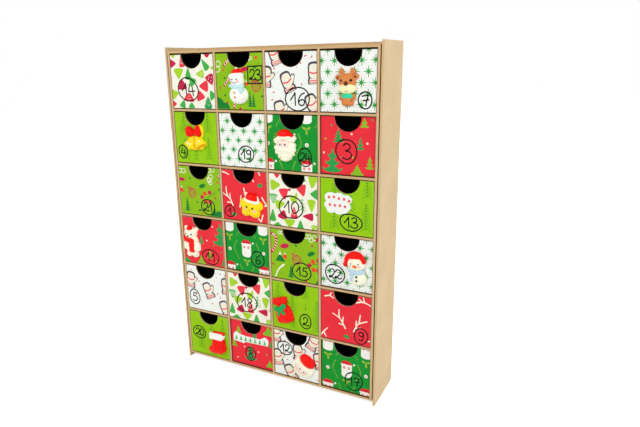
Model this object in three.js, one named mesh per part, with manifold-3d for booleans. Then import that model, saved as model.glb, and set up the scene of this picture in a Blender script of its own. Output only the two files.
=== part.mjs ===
// Cardboard advent calendar: a kraft-board cabinet of twenty-four pull-out card trays, standing in a
// board cover, with moulded resin charms glued to ten of the tray fronts.
// Millimetres, +Z up, +X to the viewer's right, tray fronts facing -Y. The origin is the middle of the
// bottom of the object's whole box.

import * as THREE from 'three';
import { mergeVertices } from 'three/addons/utils/BufferGeometryUtils.js';
import Module from 'manifold-3d';

const wasm = await Module();
wasm.setup();

// Cabinet of bays
const COLUMNS = 4;
const ROWS = 6;
const BAY_WIDTH = 52.8;
const BAY_HEIGHT = 53.4;
const TOP_BAY_EXTRA = 0.6;
const CABINET_DEPTH = 52.6;
const CABINET_BOARD = 2.2;
const LAP_CLEARANCE = 0.3;

// Cover of three boards round the cabinet's sides and back
const COVER_BOARD = 2;
const COVER_SIDE_GAP = 1;
const COVER_ABOVE = 3.7;
const COVER_BELOW = 5.4;
const COVER_CORNER_RADIUS = 1.2;

// Card trays
const TRAY_CARD = 1.5;
const TRAY_SIDE_CLEARANCE = 0.3;
const TRAY_TOP_CLEARANCE = 0.7;
const TRAY_FLOOR_CLEARANCE = 0.7;
const TRAY_BACK_CLEARANCE = 0.6;
const NOTCH_WIDTH = 24.8;
const NOTCH_DEPTH = 13.2;

// How far a tray's front stands back from the cabinet's front edges
const FLUSH = 0.1;
const NEARLY_FLUSH = 0.3;
const SET_BACK = 0.8;
const PUSHED_IN = 1.5;

// Paper facing between a tray's front and the charm glued to it
const FACING = 0.3;

// Charm heights
const CAPPED_SNOWMAN_HEIGHT = 34.1;
const REINDEER_HEIGHT = 32.2;
const BELLS_HEIGHT = 26.1;
const BEARDED_HEAD_HEIGHT = 31.3;
const STAR_HEIGHT = 27.9;
const BEAR_HEIGHT = 35.4;
const HOODED_SNOWMAN_HEIGHT = 33.6;
const SACK_HEIGHT = 31.2;
const STOCKING_HEIGHT = 28.2;
const ROUND_FACE_HEIGHT = 28.2;

// Facets round a moulded lobe, from pole to pole, round the thumb notch and round a rounded corner
const LOBE_FACETS = 12;
const LOBE_BANDS = 6;
const NOTCH_FACETS = 14;
const CORNER_FACETS = 4;

// Corners of a surface that lie this close together are one corner
const WELD = 0.001;

// Sizes that follow
const COLUMN_PITCH = BAY_WIDTH + CABINET_BOARD;
const ROW_PITCH = BAY_HEIGHT + CABINET_BOARD;
const INNER_WIDTH = COLUMNS * COLUMN_PITCH - CABINET_BOARD;
const INNER_HEIGHT = ROWS * ROW_PITCH - CABINET_BOARD + TOP_BAY_EXTRA;
const CABINET_WIDTH = INNER_WIDTH + 2 * CABINET_BOARD;
const CABINET_HEIGHT = INNER_HEIGHT + 2 * CABINET_BOARD;
const CABINET_FLOOR = COVER_BELOW + CABINET_BOARD;
const COVER_INNER_WIDTH = CABINET_WIDTH + 2 * COVER_SIDE_GAP;
const COVER_DEPTH = CABINET_DEPTH + COVER_BOARD;
const COVER_HEIGHT = COVER_BELOW + CABINET_HEIGHT + COVER_ABOVE;
const TRAY_WIDTH = BAY_WIDTH - 2 * TRAY_SIDE_CLEARANCE;
const TRAY_HEIGHT = BAY_HEIGHT - TRAY_TOP_CLEARANCE - TRAY_FLOOR_CLEARANCE;
const TRAY_DEPTH = CABINET_DEPTH - PUSHED_IN - TRAY_BACK_CLEARANCE;

// Trays from the top row down, left to right: day number and how far the tray is pushed in
const TRAYS = [
  ['14', NEARLY_FLUSH], ['23', NEARLY_FLUSH], ['16', NEARLY_FLUSH], ['07', SET_BACK],
  ['04', NEARLY_FLUSH], ['19', SET_BACK], ['24', SET_BACK], ['03', PUSHED_IN],
  ['21', FLUSH], ['01', NEARLY_FLUSH], ['10', FLUSH], ['13', NEARLY_FLUSH],
  ['11', FLUSH], ['06', PUSHED_IN], ['15', NEARLY_FLUSH], ['22', PUSHED_IN],
  ['05', FLUSH], ['18', FLUSH], ['02', NEARLY_FLUSH], ['09', NEARLY_FLUSH],
  ['20', FLUSH], ['08', PUSHED_IN], ['12', SET_BACK], ['17', PUSHED_IN],
];

// Charms by day: the height each is made to, the side of the tray it is placed from, the gap to that
// side (from the middle, the offset to the right) and how far its lowest point is above the tray's edge
const charmOf = (name, build, height, from, gap, low) => ({ name, build, height, from, gap, low });
const CHARMS = {
  '23': charmOf('capped_snowman', cappedSnowman, CAPPED_SNOWMAN_HEIGHT, 'middle', -0.6, 5.2),
  '07': charmOf('reindeer', reindeer, REINDEER_HEIGHT, 'middle', -0.7, 5.2),
  '04': charmOf('bells', bells, BELLS_HEIGHT, 'middle', -1, 13.6),
  '24': charmOf('bearded_head', beardedHead, BEARDED_HEAD_HEIGHT, 'left', 7.2, 8),
  '01': charmOf('star', star, STAR_HEIGHT, 'right', 4.6, 3.8),
  '11': charmOf('bear', bear, BEAR_HEIGHT, 'left', 1.1, 7),
  '22': charmOf('hooded_snowman', hoodedSnowman, HOODED_SNOWMAN_HEIGHT, 'right', 5.2, 6.4),
  '02': charmOf('sack', sack, SACK_HEIGHT, 'left', 0.6, 5.6),
  '20': charmOf('stocking', stocking, STOCKING_HEIGHT, 'right', 3.7, 4.8),
  '12': charmOf('round_face', roundFace, ROUND_FACE_HEIGHT, 'right', 4.2, 3.4),
};

// Materials

const finish = (color, roughness) => new THREE.MeshStandardMaterial({ color, roughness, metalness: 0 });

const COVER_KRAFT = finish(0xd9c3a0, 0.85);
const CABINET_KRAFT = finish(0xc9aa7c, 0.9);
const TRAY_KRAFT = finish(0xbf9c6d, 0.9);
const RESIN = {
  capped_snowman: finish(0xf4f4ec, 0.35),
  reindeer: finish(0xb9743a, 0.35),
  bells: finish(0xf6c81e, 0.35),
  bearded_head: finish(0xf5f2df, 0.35),
  star: finish(0xf9d81c, 0.35),
  bear: finish(0xf4f1dc, 0.35),
  hooded_snowman: finish(0xf6f4e6, 0.35),
  sack: finish(0xe0201c, 0.35),
  stocking: finish(0xe0201c, 0.35),
  round_face: finish(0xf5f0da, 0.35),
};

// Solids and cuts

// Triangles whose three corners differ: the tips of lathed and capsule forms also hold empty ones
function realTriangles(index) {
  const corners = [];
  for (let i = 0; i < index.count; i += 3) {
    const [a, b, c] = [index.getX(i), index.getX(i + 1), index.getX(i + 2)];
    if (a !== b && b !== c && c !== a) corners.push(a, b, c);
  }
  return Uint32Array.from(corners);
}

function toSolid(geometry) {
  const bare = geometry.clone();
  bare.deleteAttribute('normal');
  bare.deleteAttribute('uv');
  const merged = mergeVertices(bare, WELD);
  return new wasm.Manifold(new wasm.Mesh({
    numProp: 3,
    vertProperties: new Float32Array(merged.attributes.position.array),
    triVerts: realTriangles(merged.index),
  }));
}

function toGeometry(solid) {
  const mesh = solid.getMesh();
  const geometry = new THREE.BufferGeometry();
  geometry.setAttribute('position', new THREE.BufferAttribute(new Float32Array(mesh.vertProperties), 3));
  geometry.setIndex(new THREE.BufferAttribute(new Uint32Array(mesh.triVerts), 1));
  geometry.computeVertexNormals();
  return geometry;
}

function block([x0, x1], [y0, y1], [z0, z1]) {
  const geometry = new THREE.BoxGeometry(x1 - x0, y1 - y0, z1 - z0);
  return geometry.translate((x0 + x1) / 2, (y0 + y1) / 2, (z0 + z1) / 2);
}

function piece(name, geometry, material) {
  const mesh = new THREE.Mesh(geometry, material);
  mesh.name = name;
  return mesh;
}

// Cover, measured from the cabinet's front edges at y = 0

function coverSide(side) {
  const inner = COVER_INNER_WIDTH / 2;
  const outer = inner + COVER_BOARD;
  const r = COVER_CORNER_RADIUS;
  const plan = new THREE.Shape();
  plan.moveTo(inner, 0);
  plan.lineTo(outer, 0);
  plan.lineTo(outer, COVER_DEPTH - r);
  plan.absarc(outer - r, COVER_DEPTH - r, r, 0, Math.PI / 2, false);
  plan.lineTo(inner, COVER_DEPTH);
  const options = { depth: COVER_HEIGHT, bevelEnabled: false, curveSegments: CORNER_FACETS };
  const geometry = new THREE.ExtrudeGeometry(plan, options);
  // The left panel is the right one turned over, end for end
  if (side < 0) geometry.rotateY(Math.PI).translate(0, 0, COVER_HEIGHT);
  return geometry;
}

function coverBack() {
  const half = COVER_INNER_WIDTH / 2;
  return block([-half, half], [CABINET_DEPTH, COVER_DEPTH], [0, COVER_HEIGHT]);
}

function makeCover() {
  return [
    piece('cover_left_panel', coverSide(-1), COVER_KRAFT),
    piece('cover_back_panel', coverBack(), COVER_KRAFT),
    piece('cover_right_panel', coverSide(1), COVER_KRAFT),
  ];
}

// Cabinet

// A board drawn flat, its plain long edge at y = 0, with open slots along its other long edge
function slottedBoard(length, slots, slotDepth) {
  const half = CABINET_BOARD / 2 + LAP_CLEARANCE;
  const plan = new THREE.Shape();
  plan.moveTo(-length / 2, 0);
  plan.lineTo(length / 2, 0);
  plan.lineTo(length / 2, CABINET_DEPTH);
  for (const slot of [...slots].sort((a, b) => b - a)) {
    plan.lineTo(slot + half, CABINET_DEPTH);
    plan.lineTo(slot + half, CABINET_DEPTH - slotDepth);
    plan.lineTo(slot - half, CABINET_DEPTH - slotDepth);
    plan.lineTo(slot - half, CABINET_DEPTH);
  }
  plan.lineTo(-length / 2, CABINET_DEPTH);
  return new THREE.ExtrudeGeometry(plan, { depth: CABINET_BOARD, bevelEnabled: false });
}

// Middles of the boards that stand between bays, counted from the middle of the row or column
const between = (count, pitch) =>
  Array.from({ length: count - 1 }, (_, i) => (i + 1 - count / 2) * pitch);

const dividerPlaces = between(COLUMNS, COLUMN_PITCH);
const shelfPlaces = between(ROWS, ROW_PITCH).map((place) => place - TOP_BAY_EXTRA / 2);
const cabinetMiddle = CABINET_FLOOR + INNER_HEIGHT / 2;

function makeShelves() {
  const lap = CABINET_DEPTH / 2;
  return [...shelfPlaces].reverse().map((place, i) => {
    const board = slottedBoard(INNER_WIDTH, dividerPlaces, CABINET_DEPTH - lap);
    board.translate(0, 0, cabinetMiddle + place - CABINET_BOARD / 2);
    return piece(`shelf_${i + 1}`, board, CABINET_KRAFT);
  });
}

function makeDividers() {
  const lap = CABINET_DEPTH / 2 + LAP_CLEARANCE;
  // Stands the flat board up, its slots to the front
  const upright = new THREE.Matrix4().makeBasis(
    new THREE.Vector3(0, 0, 1), new THREE.Vector3(0, -1, 0), new THREE.Vector3(1, 0, 0));
  return dividerPlaces.map((place, i) => {
    const board = slottedBoard(INNER_HEIGHT, shelfPlaces, lap).applyMatrix4(upright);
    board.translate(place - CABINET_BOARD / 2, CABINET_DEPTH, cabinetMiddle);
    return piece(`divider_${i + 1}`, board, CABINET_KRAFT);
  });
}

function makeShell() {
  const inner = INNER_WIDTH / 2;
  const outer = CABINET_WIDTH / 2;
  const depth = [0, CABINET_DEPTH];
  const bottom = COVER_BELOW;
  const top = COVER_BELOW + CABINET_HEIGHT;
  return [
    piece('cabinet_left_wall', block([-outer, -inner], depth, [bottom, top]), CABINET_KRAFT),
    piece('cabinet_right_wall', block([inner, outer], depth, [bottom, top]), CABINET_KRAFT),
    piece('cabinet_bottom', block([-inner, inner], depth, [bottom, bottom + CABINET_BOARD]), CABINET_KRAFT),
    piece('cabinet_top', block([-inner, inner], depth, [top - CABINET_BOARD, top]), CABINET_KRAFT),
  ];
}

// Trays, drawn with the middle of the front's bottom edge at the origin

function notchCutter() {
  const r = NOTCH_WIDTH / 2;
  const arcCentre = TRAY_HEIGHT - NOTCH_DEPTH + r;
  const outline = new THREE.Shape();
  outline.moveTo(-r, TRAY_HEIGHT + TRAY_CARD);
  outline.lineTo(-r, arcCentre);
  outline.absarc(0, arcCentre, r, Math.PI, 2 * Math.PI, false);
  outline.lineTo(r, TRAY_HEIGHT + TRAY_CARD);
  const options = { depth: 3 * TRAY_CARD, bevelEnabled: false, curveSegments: NOTCH_FACETS };
  return new THREE.ExtrudeGeometry(outline, options).rotateX(Math.PI / 2).translate(0, 2 * TRAY_CARD, 0);
}

function trayGeometry() {
  const outer = TRAY_WIDTH / 2;
  const inner = outer - TRAY_CARD;
  const whole = block([-outer, outer], [0, TRAY_DEPTH], [0, TRAY_HEIGHT]);
  const hollow = block([-inner, inner], [TRAY_CARD, TRAY_DEPTH - TRAY_CARD],
    [TRAY_CARD, TRAY_HEIGHT + TRAY_CARD]);
  return toGeometry(toSolid(whole).subtract(toSolid(hollow)).subtract(toSolid(notchCutter())));
}

// Charms, drawn near their real size with x to the right, y up and z out of the tray's face

// A moulded lobe: an ellipsoid by its middle, half sizes and turn in its own plane
function lobe(x, y, z, halfWidth, halfHeight, halfThickness, turn = 0) {
  const geometry = new THREE.SphereGeometry(1, LOBE_FACETS, LOBE_BANDS);
  geometry.rotateX(Math.PI / 2).scale(halfWidth, halfHeight, halfThickness);
  return geometry.rotateZ(THREE.MathUtils.degToRad(turn)).translate(x, y, z);
}

// A moulded roll: a round-ended bar between two points at one height over the face
function roll(x0, y0, x1, y1, z, radius) {
  const length = Math.hypot(x1 - x0, y1 - y0);
  const geometry = new THREE.CapsuleGeometry(radius, length, 3, 8);
  geometry.rotateZ(Math.atan2(y1 - y0, x1 - x0) - Math.PI / 2);
  return geometry.translate((x0 + x1) / 2, (y0 + y1) / 2, z);
}

function cappedSnowman() {
  return [
    lobe(0.4, -8, 0, 10.4, 8.8, 6.5),
    lobe(-0.8, 6, 0, 7.6, 6.8, 5.8),
    roll(-7.8, 0.2, 5.6, 0.8, 2.6, 2.2),
    roll(4.6, -1.4, 5.6, -5.4, 4.4, 2.8),
    roll(-7, 10.4, 5.4, 10.4, 2.4, 2.4),
    lobe(-0.8, 12.8, 0, 6.6, 3.8, 4.6),
    lobe(-1, 16.4, 1, 1.4, 1.3, 1.4),
  ];
}

function reindeer() {
  return [
    lobe(0.4, 6.2, 0, 8.7, 7.6, 6),
    lobe(0.2, -0.2, 1, 8.2, 4.6, 5.2),
    lobe(-0.6, 3.4, 5.4, 2.1, 2.5, 1.6),
    lobe(-8.2, 10.4, 0, 3, 2.1, 2.4, -25),
    lobe(8.4, 11.2, 0, 3, 2.1, 2.4, 25),
    roll(-3.2, 11.8, -4.4, 15, 0.8, 1.6),
    roll(3.8, 12.2, 4.8, 15.2, 0.8, 1.6),
    lobe(1, -9.4, 0, 6.6, 6.4, 5),
    roll(-5, -6, -6, -9.2, 0.8, 1.6),
    roll(7, -5.6, 7.8, -8.8, 0.8, 1.6),
    lobe(-1.8, -13.4, 0, 3.2, 2.4, 4),
    lobe(4, -13.2, 0, 3.2, 2.4, 4),
    roll(-4, -5, 4.6, -5, 3.4, 2),
  ];
}

// A bell by the middle of its mouth and its lean to the left
function bell(x, y, lean) {
  const profile = [[0, 0], [8.2, 0], [8, 1.8], [5.8, 4.8], [4.8, 8.8], [2.6, 11.8], [0, 12.4]];
  const geometry = new THREE.LatheGeometry(profile.map(([r, h]) => new THREE.Vector2(r, h)), LOBE_FACETS);
  geometry.scale(1, 1, 0.6).rotateZ(THREE.MathUtils.degToRad(lean));
  return geometry.translate(x, y, 0);
}

function bells() {
  return [
    bell(-6.2, -8, -25),
    bell(7.2, -7.2, 29),
    lobe(-6.8, -8.8, 0.6, 2.2, 2.2, 2.2),
    lobe(7.9, -8, 0.6, 2.2, 2.2, 2.2),
    lobe(-7.9, 6.8, 1.2, 4.9, 5.4, 3.6),
    lobe(2.8, 7.2, 1.2, 5, 5.6, 3.6),
    lobe(-2.6, 6.2, 2.8, 2.6, 3, 2.8),
  ];
}

function beardedHead() {
  const curls = [[9.8, 0.4], [9.8, -3.8], [8.2, -7.8], [5.4, -11.4], [-10, -2.4], [-9, -6.8], [-5.6, -11]];
  return [
    lobe(0, -2, 0, 10.6, 10, 6),
    lobe(0.6, -10.4, 0, 6.2, 5.6, 4.8),
    lobe(-0.4, 0.8, 3.4, 7, 3.8, 2.8),
    lobe(-3.4, -3.8, 4.4, 4, 2.2, 2.4, 8),
    lobe(3.2, -4, 4.4, 4, 2.2, 2.4, -12),
    roll(-9.4, 5.8, -0.6, 8, 2.2, 2.5),
    roll(-0.6, 8, 9.6, 6.2, 2.2, 2.5),
    lobe(0, 9.4, 0, 9, 6.4, 5.2),
    ...curls.map(([x, y]) => lobe(x, y, 0.4, 2.2, 2.6, 3)),
  ];
}

function star() {
  const points = [3, 75, 147, 219, 291];
  return [
    lobe(0, 0, 0, 9.8, 9.8, 6.4),
    ...points.map((turn) => lobe(7, 0, 0, 7, 5.6, 5.4).rotateZ(THREE.MathUtils.degToRad(turn))),
    roll(-8.4, 7.4, 6, 4, 4.2, 2),
    lobe(-0.2, 9.8, 1.4, 8, 4.6, 5, -14),
    lobe(-7, 12.8, 1.6, 2, 2, 2),
  ];
}

function bear() {
  return [
    lobe(-1.2, 9, 0, 7.8, 6.8, 6),
    lobe(-2.6, 7.4, 4.6, 2.8, 2.2, 2.4),
    lobe(-7, 14, 0, 2.4, 2.4, 2.4),
    lobe(6, 13.2, 0, 2.4, 2.4, 2.4),
    lobe(-2.6, 14.4, 0.8, 3.6, 3, 3.4),
    roll(-7.6, 3.4, 6.2, 1.4, 2.8, 2.3),
    roll(2.4, -0.4, 2.2, -9.2, 4.6, 2.4),
    lobe(0.6, -6.4, 0, 8.8, 9.4, 5.8),
    roll(-8.2, -2.8, -8, -7.8, 1, 2.3),
    roll(8.8, -2.6, 9, -7.8, 1, 2.3),
    lobe(-3.4, -14, 0, 3.5, 3.6, 4.6),
    lobe(4.8, -14.2, 0, 3.6, 3.6, 4.8),
  ];
}

function hoodedSnowman() {
  return [
    lobe(0.2, 7.4, 0, 10.4, 9, 5),
    lobe(1.2, 4.6, 1, 8.6, 7.2, 6),
    lobe(-9.8, 3, 0.4, 2.3, 2.6, 2.4),
    roll(-4.8, -2, 8, -1.8, 3, 2.3),
    roll(-1.4, -4.6, -1.8, -10.4, 4.6, 2.2),
    lobe(3.6, -9, 0, 8, 7.4, 6.4),
  ];
}

function sack() {
  const upright = [
    lobe(0, -5, 0, 10.6, 10.2, 6.6),
    lobe(0, 4.6, 0, 6.2, 5.8, 4.6),
    lobe(-0.4, 11, 0, 8.6, 4.2, 4),
    lobe(-1, 3.2, 4.8, 2, 2, 1.9),
    lobe(-5, 3.2, 3.8, 3.8, 2.6, 2.2, 12),
    lobe(3, 4.6, 3.8, 4, 2.8, 2.2, 28),
    roll(-2, 2, -3.6, -4, 5, 1.4),
    roll(0, 2, 3, -3.2, 5.2, 1.4),
  ];
  return upright.map((form) => form.rotateZ(THREE.MathUtils.degToRad(17)));
}

function stocking() {
  const puffs = [-7.8, -4.6, -1.4, 1.8, 5];
  const ribs = [-2.2, 1.4, 5, 8.4];
  return [
    roll(-4.2, 12.2, 9.8, 12.8, 0.6, 1.5),
    ...puffs.map((x) => lobe(x, 7.2 + 0.06 * x, 1.2, 2.8, 4.6, 4.2)),
    ...ribs.map((x) => lobe(x, -1, 0, 3.4, 10.4 - 0.04 * x * x, 5.6)),
    lobe(-3.2, -9, 0, 9, 5, 6, 9),
    lobe(4.6, -5.4, 0, 7.4, 7, 6.2),
  ];
}

function roundFace() {
  const upright = [
    lobe(0, 0, 0, 11.6, 11.8, 6),
    lobe(-0.2, -2.4, 2.4, 7.6, 5.4, 4.4),
    lobe(-1, 8.8, 0.6, 8.8, 7.2, 5.4),
    roll(-8.6, 4.2, 7, 3.6, 3, 2.3),
  ];
  return upright.map((form) => form.rotateZ(THREE.MathUtils.degToRad(-36)));
}

// Joins a charm's forms, cuts its back flat, brings it to its height and stands it on a tray's face
function charmGeometry({ build, height }) {
  const reach = 2 * Math.max(BAY_WIDTH, BAY_HEIGHT);
  const inFront = toSolid(block([-reach, reach], [-reach, reach], [0, reach]));
  const joined = build().map(toSolid).reduce((whole, form) => whole.add(form));
  const geometry = toGeometry(joined.intersect(inFront));
  geometry.computeBoundingBox();
  const drawn = geometry.boundingBox.max.y - geometry.boundingBox.min.y;
  const scale = height / drawn;
  return geometry.scale(scale, scale, scale).rotateX(Math.PI / 2);
}

// Moves a charm to its place on the tray front, from the tray's own origin
function placeCharm(geometry, { from, gap, low }) {
  geometry.computeBoundingBox();
  const { min, max } = geometry.boundingBox;
  const edge = TRAY_WIDTH / 2;
  const across = {
    left: -edge + gap - min.x,
    middle: gap - (min.x + max.x) / 2,
    right: edge - gap - max.x,
  };
  return geometry.translate(across[from], -FACING, low - min.z);
}

function makeDrawer(index, shape) {
  const [day, setback] = TRAYS[index] ?? [String(index + 1), FLUSH];
  const column = index % COLUMNS;
  const row = Math.floor(index / COLUMNS);
  const drawer = new THREE.Group();
  drawer.add(piece(`drawer_tray_${day}`, shape, TRAY_KRAFT));
  const charm = CHARMS[day];
  if (charm) {
    const form = placeCharm(charmGeometry(charm), charm);
    drawer.add(piece(`${charm.name}_charm_${day}`, form, RESIN[charm.name]));
  }
  const x = (column - (COLUMNS - 1) / 2) * COLUMN_PITCH;
  const z = CABINET_FLOOR + (ROWS - 1 - row) * ROW_PITCH + TRAY_FLOOR_CLEARANCE;
  drawer.position.set(x, setback, z);
  return drawer;
}

function makeDrawers() {
  const shape = trayGeometry();
  return Array.from({ length: COLUMNS * ROWS }, (_, index) => makeDrawer(index, shape));
}

// The whole calendar, moved so that the middle of the bottom of its box is the origin
const calendar = new THREE.Group();
calendar.add(...makeCover(), ...makeShell(), ...makeShelves(), ...makeDividers(), ...makeDrawers());
calendar.updateMatrixWorld(true);
const extent = new THREE.Box3().setFromObject(calendar, true);
const middle = extent.getCenter(new THREE.Vector3());
calendar.position.set(-middle.x, -middle.y, -extent.min.z);

export default calendar;
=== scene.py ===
"""Looks of the cardboard advent calendar: kraft boards, printed paper facings with hand-drawn
numbers, and painted resin charms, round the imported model. Metres, in the model's own frame."""

import cmath
import math
from functools import partial

import bmesh
import bpy
from mathutils import Matrix, Vector
from mathutils.geometry import delaunay_2d_cdt


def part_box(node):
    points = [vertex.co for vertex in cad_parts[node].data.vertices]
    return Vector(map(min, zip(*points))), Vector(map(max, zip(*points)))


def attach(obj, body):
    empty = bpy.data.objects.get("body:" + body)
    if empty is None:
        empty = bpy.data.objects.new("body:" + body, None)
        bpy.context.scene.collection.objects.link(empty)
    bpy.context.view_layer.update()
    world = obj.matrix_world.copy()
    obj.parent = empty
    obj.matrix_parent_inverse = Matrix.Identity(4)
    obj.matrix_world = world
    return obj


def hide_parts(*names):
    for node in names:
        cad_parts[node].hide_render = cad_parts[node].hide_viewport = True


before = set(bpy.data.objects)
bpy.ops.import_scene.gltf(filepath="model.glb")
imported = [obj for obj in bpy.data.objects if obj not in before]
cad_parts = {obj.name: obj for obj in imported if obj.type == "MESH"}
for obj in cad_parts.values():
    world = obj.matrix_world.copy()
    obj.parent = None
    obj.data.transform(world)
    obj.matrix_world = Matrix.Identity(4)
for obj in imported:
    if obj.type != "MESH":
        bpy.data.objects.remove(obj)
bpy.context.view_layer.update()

MM = .001

# Camera, from the photograph's own perspective, in millimetres
IMAGE_WIDTH = 640
FOCAL_PIXELS = 542.3
SENSOR_WIDTH = 36
SHIFT = (.0419, .0161)
CAMERA_PLACE = (261.94, -469.83, 328.49)
CAMERA_RIGHT = (.88739, .46064, -.01877)
CAMERA_FORWARD = (-.4464, .84834, -.28471)

# Light: each lamp's place and size in metres and its power in watts, and the point they all face
WORLD_STRENGTH = .42
LAMPS = {"key": ((-.9, -1.7, 1.5), .7, 22), "side": ((2.0, -.5, .9), 1.2, 18),
         "back": ((-.7, 2.0, 1.1), 1.3, 17)}
AIM = (0, 0, .17)

# Floor: its colour as seen, how far it reaches in metres, and the glow that only the eye sees
FLOOR = (252, 252, 252)
FLOOR_REACH = 4
FLOOR_GLOW = .66

# Prints: how round and how full the soft triangles are, their size, and a drawn line's steps in a piece
SOFTNESS = .3
FULLNESS = 1.12
TRIANGLE_SIZE = 1.2
RUN = 4

# Paper facings, in millimetres
PAPER = .26
PAPER_GAP = .02
PAPER_MARGIN = .35
PAPER_FOOT = .25
NOTCH_WIDTH = 24.8
NOTCH_DEPTH = 13.2
NOTCH_RIM = .35
NOTCH_STEPS = 24
MARKER_WIDTH = 1.25

# Charms, in millimetres: grain of the moulded surface and rounds of smoothing
VOXEL = .36
SMOOTHING = 4

# Print colours as seen, 0 to 255
INKS = {
    "white": (237, 241, 234), "cream": (240, 237, 221), "lime": (146, 199, 18), "lime_line": (94, 160, 26),
    "olive": (137, 187, 24), "red": (231, 48, 60), "green": (22, 145, 47), "starburst": (44, 156, 56),
    "dot": (226, 110, 128), "leaf": (66, 174, 72), "leaf_light": (164, 208, 46),
    "leaf_pale": (112, 192, 112), "ruby": (196, 34, 72), "rose": (233, 58, 72), "pine": (42, 154, 76),
    "pine_lime": (132, 184, 42), "branch": (243, 234, 214), "sprig": (170, 196, 60), "roof": (214, 40, 48),
    "wall": (242, 240, 232), "window": (228, 156, 146), "outline": (74, 64, 82), "wool": (240, 233, 212),
    "tick": (226, 84, 96), "tick_pale": (240, 190, 196), "orange": (232, 72, 40), "forest": (24, 122, 48),
    "marker": (14, 14, 17),
}

# Kraft as seen: the boards' liner and cut edges, and the lighter and darker tone of each side of the trays,
# where the inside's tones are painted shade, far darker than the card
LINER = (208, 174, 124)
UPRIGHT_EDGE = (216, 184, 138)
LEVEL_EDGE = (210, 176, 128)
COVER = (228, 202, 160)
COVER_EDGE = (214, 182, 136)
TRAY_OUTSIDE = ((196, 158, 108), (172, 134, 88))
TRAY_INSIDE_SHADE = ((58, 44, 32), (44, 33, 24))

# Painted shade on the boards' faces just behind the front and on the trays' front faces: its colour, and how
# far it reaches behind a front edge
PAINTED_SHADE = (104, 70, 42)
PAINTED_SHADE_DEPTH = 6 * MM

# Noise stretched into lines that run along an upright or a level board
PLIES_UP = (2600, 40, 30)
PLIES_ACROSS = (30, 40, 2600)

# Thickness of the trays' card in millimetres, and bays counted from outside the cabinet to stay positive
CARD = 1.5
BAYS = 8

# Resin and paint: the record's material slot and the colour as seen
PAINTS = {
    "white": ("white_resin", (250, 250, 242)), "cream": ("cream_resin", (250, 247, 222)),
    "custard": ("cream_resin", (248, 240, 186)), "skin": ("cream_resin", (252, 230, 218)),
    "brown": ("brown_resin", (216, 132, 70)), "dark_brown": ("brown_resin", (92, 44, 24)),
    # amber is painted shade: a darker yellow for the bells' mouths and the cleft between them
    "yellow": ("yellow_resin", (255, 222, 24)), "painted_bell_shade": ("yellow_resin", (244, 172, 12)),
    "red": ("red_resin", (244, 14, 4)), "pink": ("red_resin", (250, 186, 190)),
    "coral": ("red_resin", (248, 112, 54)), "teal": ("green_resin", (52, 212, 162)),
    "green": ("green_resin", (4, 168, 86)), "sky": ("blue_resin", (196, 232, 236)),
    "powder": ("blue_resin", (184, 214, 232)), "black": ("black_paint", (22, 20, 20)),
}


# Materials

def srgb(*colour):
    """A colour of 0 to 255 as it is seen, as the linear colour that a shader takes."""
    seen = [part / 255 for part in colour]
    return (*(part / 12.92 if part <= .04045 else ((part + .055) / 1.055) ** 2.4 for part in seen), 1.0)


def shade(colour, factor):
    return (*(min(part * factor, 1.0) for part in colour[:3]), 1.0)


def new_material(name):
    """A material, its node tree and its surface shader."""
    material = bpy.data.materials.new(name)
    material.use_nodes = True
    return material, material.node_tree, material.node_tree.nodes["Principled BSDF"]


def node(tree, kind, inputs, **settings):
    """A node with its settings, and with a value or another node's output on each input."""
    made = tree.nodes.new("ShaderNode" + kind)
    for name, value in settings.items():
        setattr(made, name, value)
    for key, value in inputs.items():
        if isinstance(value, bpy.types.NodeSocket):
            tree.links.new(value, made.inputs[key])
        else:
            made.inputs[key].default_value = value
    return made


def math_node(tree, operation, first, second):
    return node(tree, "Math", {0: first, 1: second}, operation=operation).outputs[0]


def axes(tree, kind):
    """X, Y and Z of the place in the row frame (Object) or of the way a surface faces (Normal)."""
    return node(tree, "SeparateXYZ", {0: node(tree, "TexCoord", {}).outputs[kind]}).outputs


def ranged(tree, value, low, high):
    """The value, spread to run from 0 at low to 1 at high."""
    return node(tree, "MapRange", {"Value": value, "From Min": low, "From Max": high}).outputs[0]


def noise(tree, scale, detail=3, low=.35, high=.65, stretch=(1, 1, 1)):
    """Noise over the stretched row frame, from 0 to 1 between two of its levels."""
    place = node(tree, "Mapping", {"Vector": node(tree, "TexCoord", {}).outputs["Object"], "Scale": stretch})
    raw = node(tree, "TexNoise", {"Vector": place.outputs[0], "Scale": scale, "Detail": detail})
    return ranged(tree, raw.outputs["Fac"], low, high)


def mixed(tree, factor, first, second):
    return node(tree, "Mix", {0: factor, 6: first, 7: second}, data_type="RGBA").outputs[2]


def dress(tree, surface, colour, roughness, specular, height, depth):
    """Puts the colour, the gloss and a fine relief on a surface shader."""
    relief = node(tree, "Bump", {"Height": height, "Strength": 1.0, "Distance": depth * MM})
    tree.links.new(colour, surface.inputs["Base Color"])
    tree.links.new(relief.outputs[0], surface.inputs["Normal"])
    surface.inputs["Roughness"].default_value = roughness
    surface.inputs["Specular IOR Level"].default_value = specular


def paper_material(ink):
    """Printed paper: patches of thinner ink, and the paper's tooth."""
    material, tree, surface = new_material(f"paper_{ink}")
    colour, tooth = srgb(*INKS[ink]), noise(tree, 2300, 2)
    inked = mixed(tree, noise(tree, 110), shade(colour, .93), shade(colour, 1.03))
    dress(tree, surface, mixed(tree, tooth, inked, shade(colour, 1.08)), .75, .12, tooth, .02)
    return material


def resin_material(paint):
    """Moulded resin: a little cloudy, with the unevenness of a hand-filled mould."""
    material, tree, surface = new_material(f"resin_{paint}")
    colour = srgb(*PAINTS[paint][1])
    cloudy = mixed(tree, noise(tree, 240, 4), shade(colour, .96), shade(colour, 1.06))
    dress(tree, surface, cloudy, .45, .14, noise(tree, 900, 2, .2, .8), .02)
    surface.inputs["Coat Weight"].default_value = .04
    surface.inputs["Coat Roughness"].default_value = .2
    return material


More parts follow.
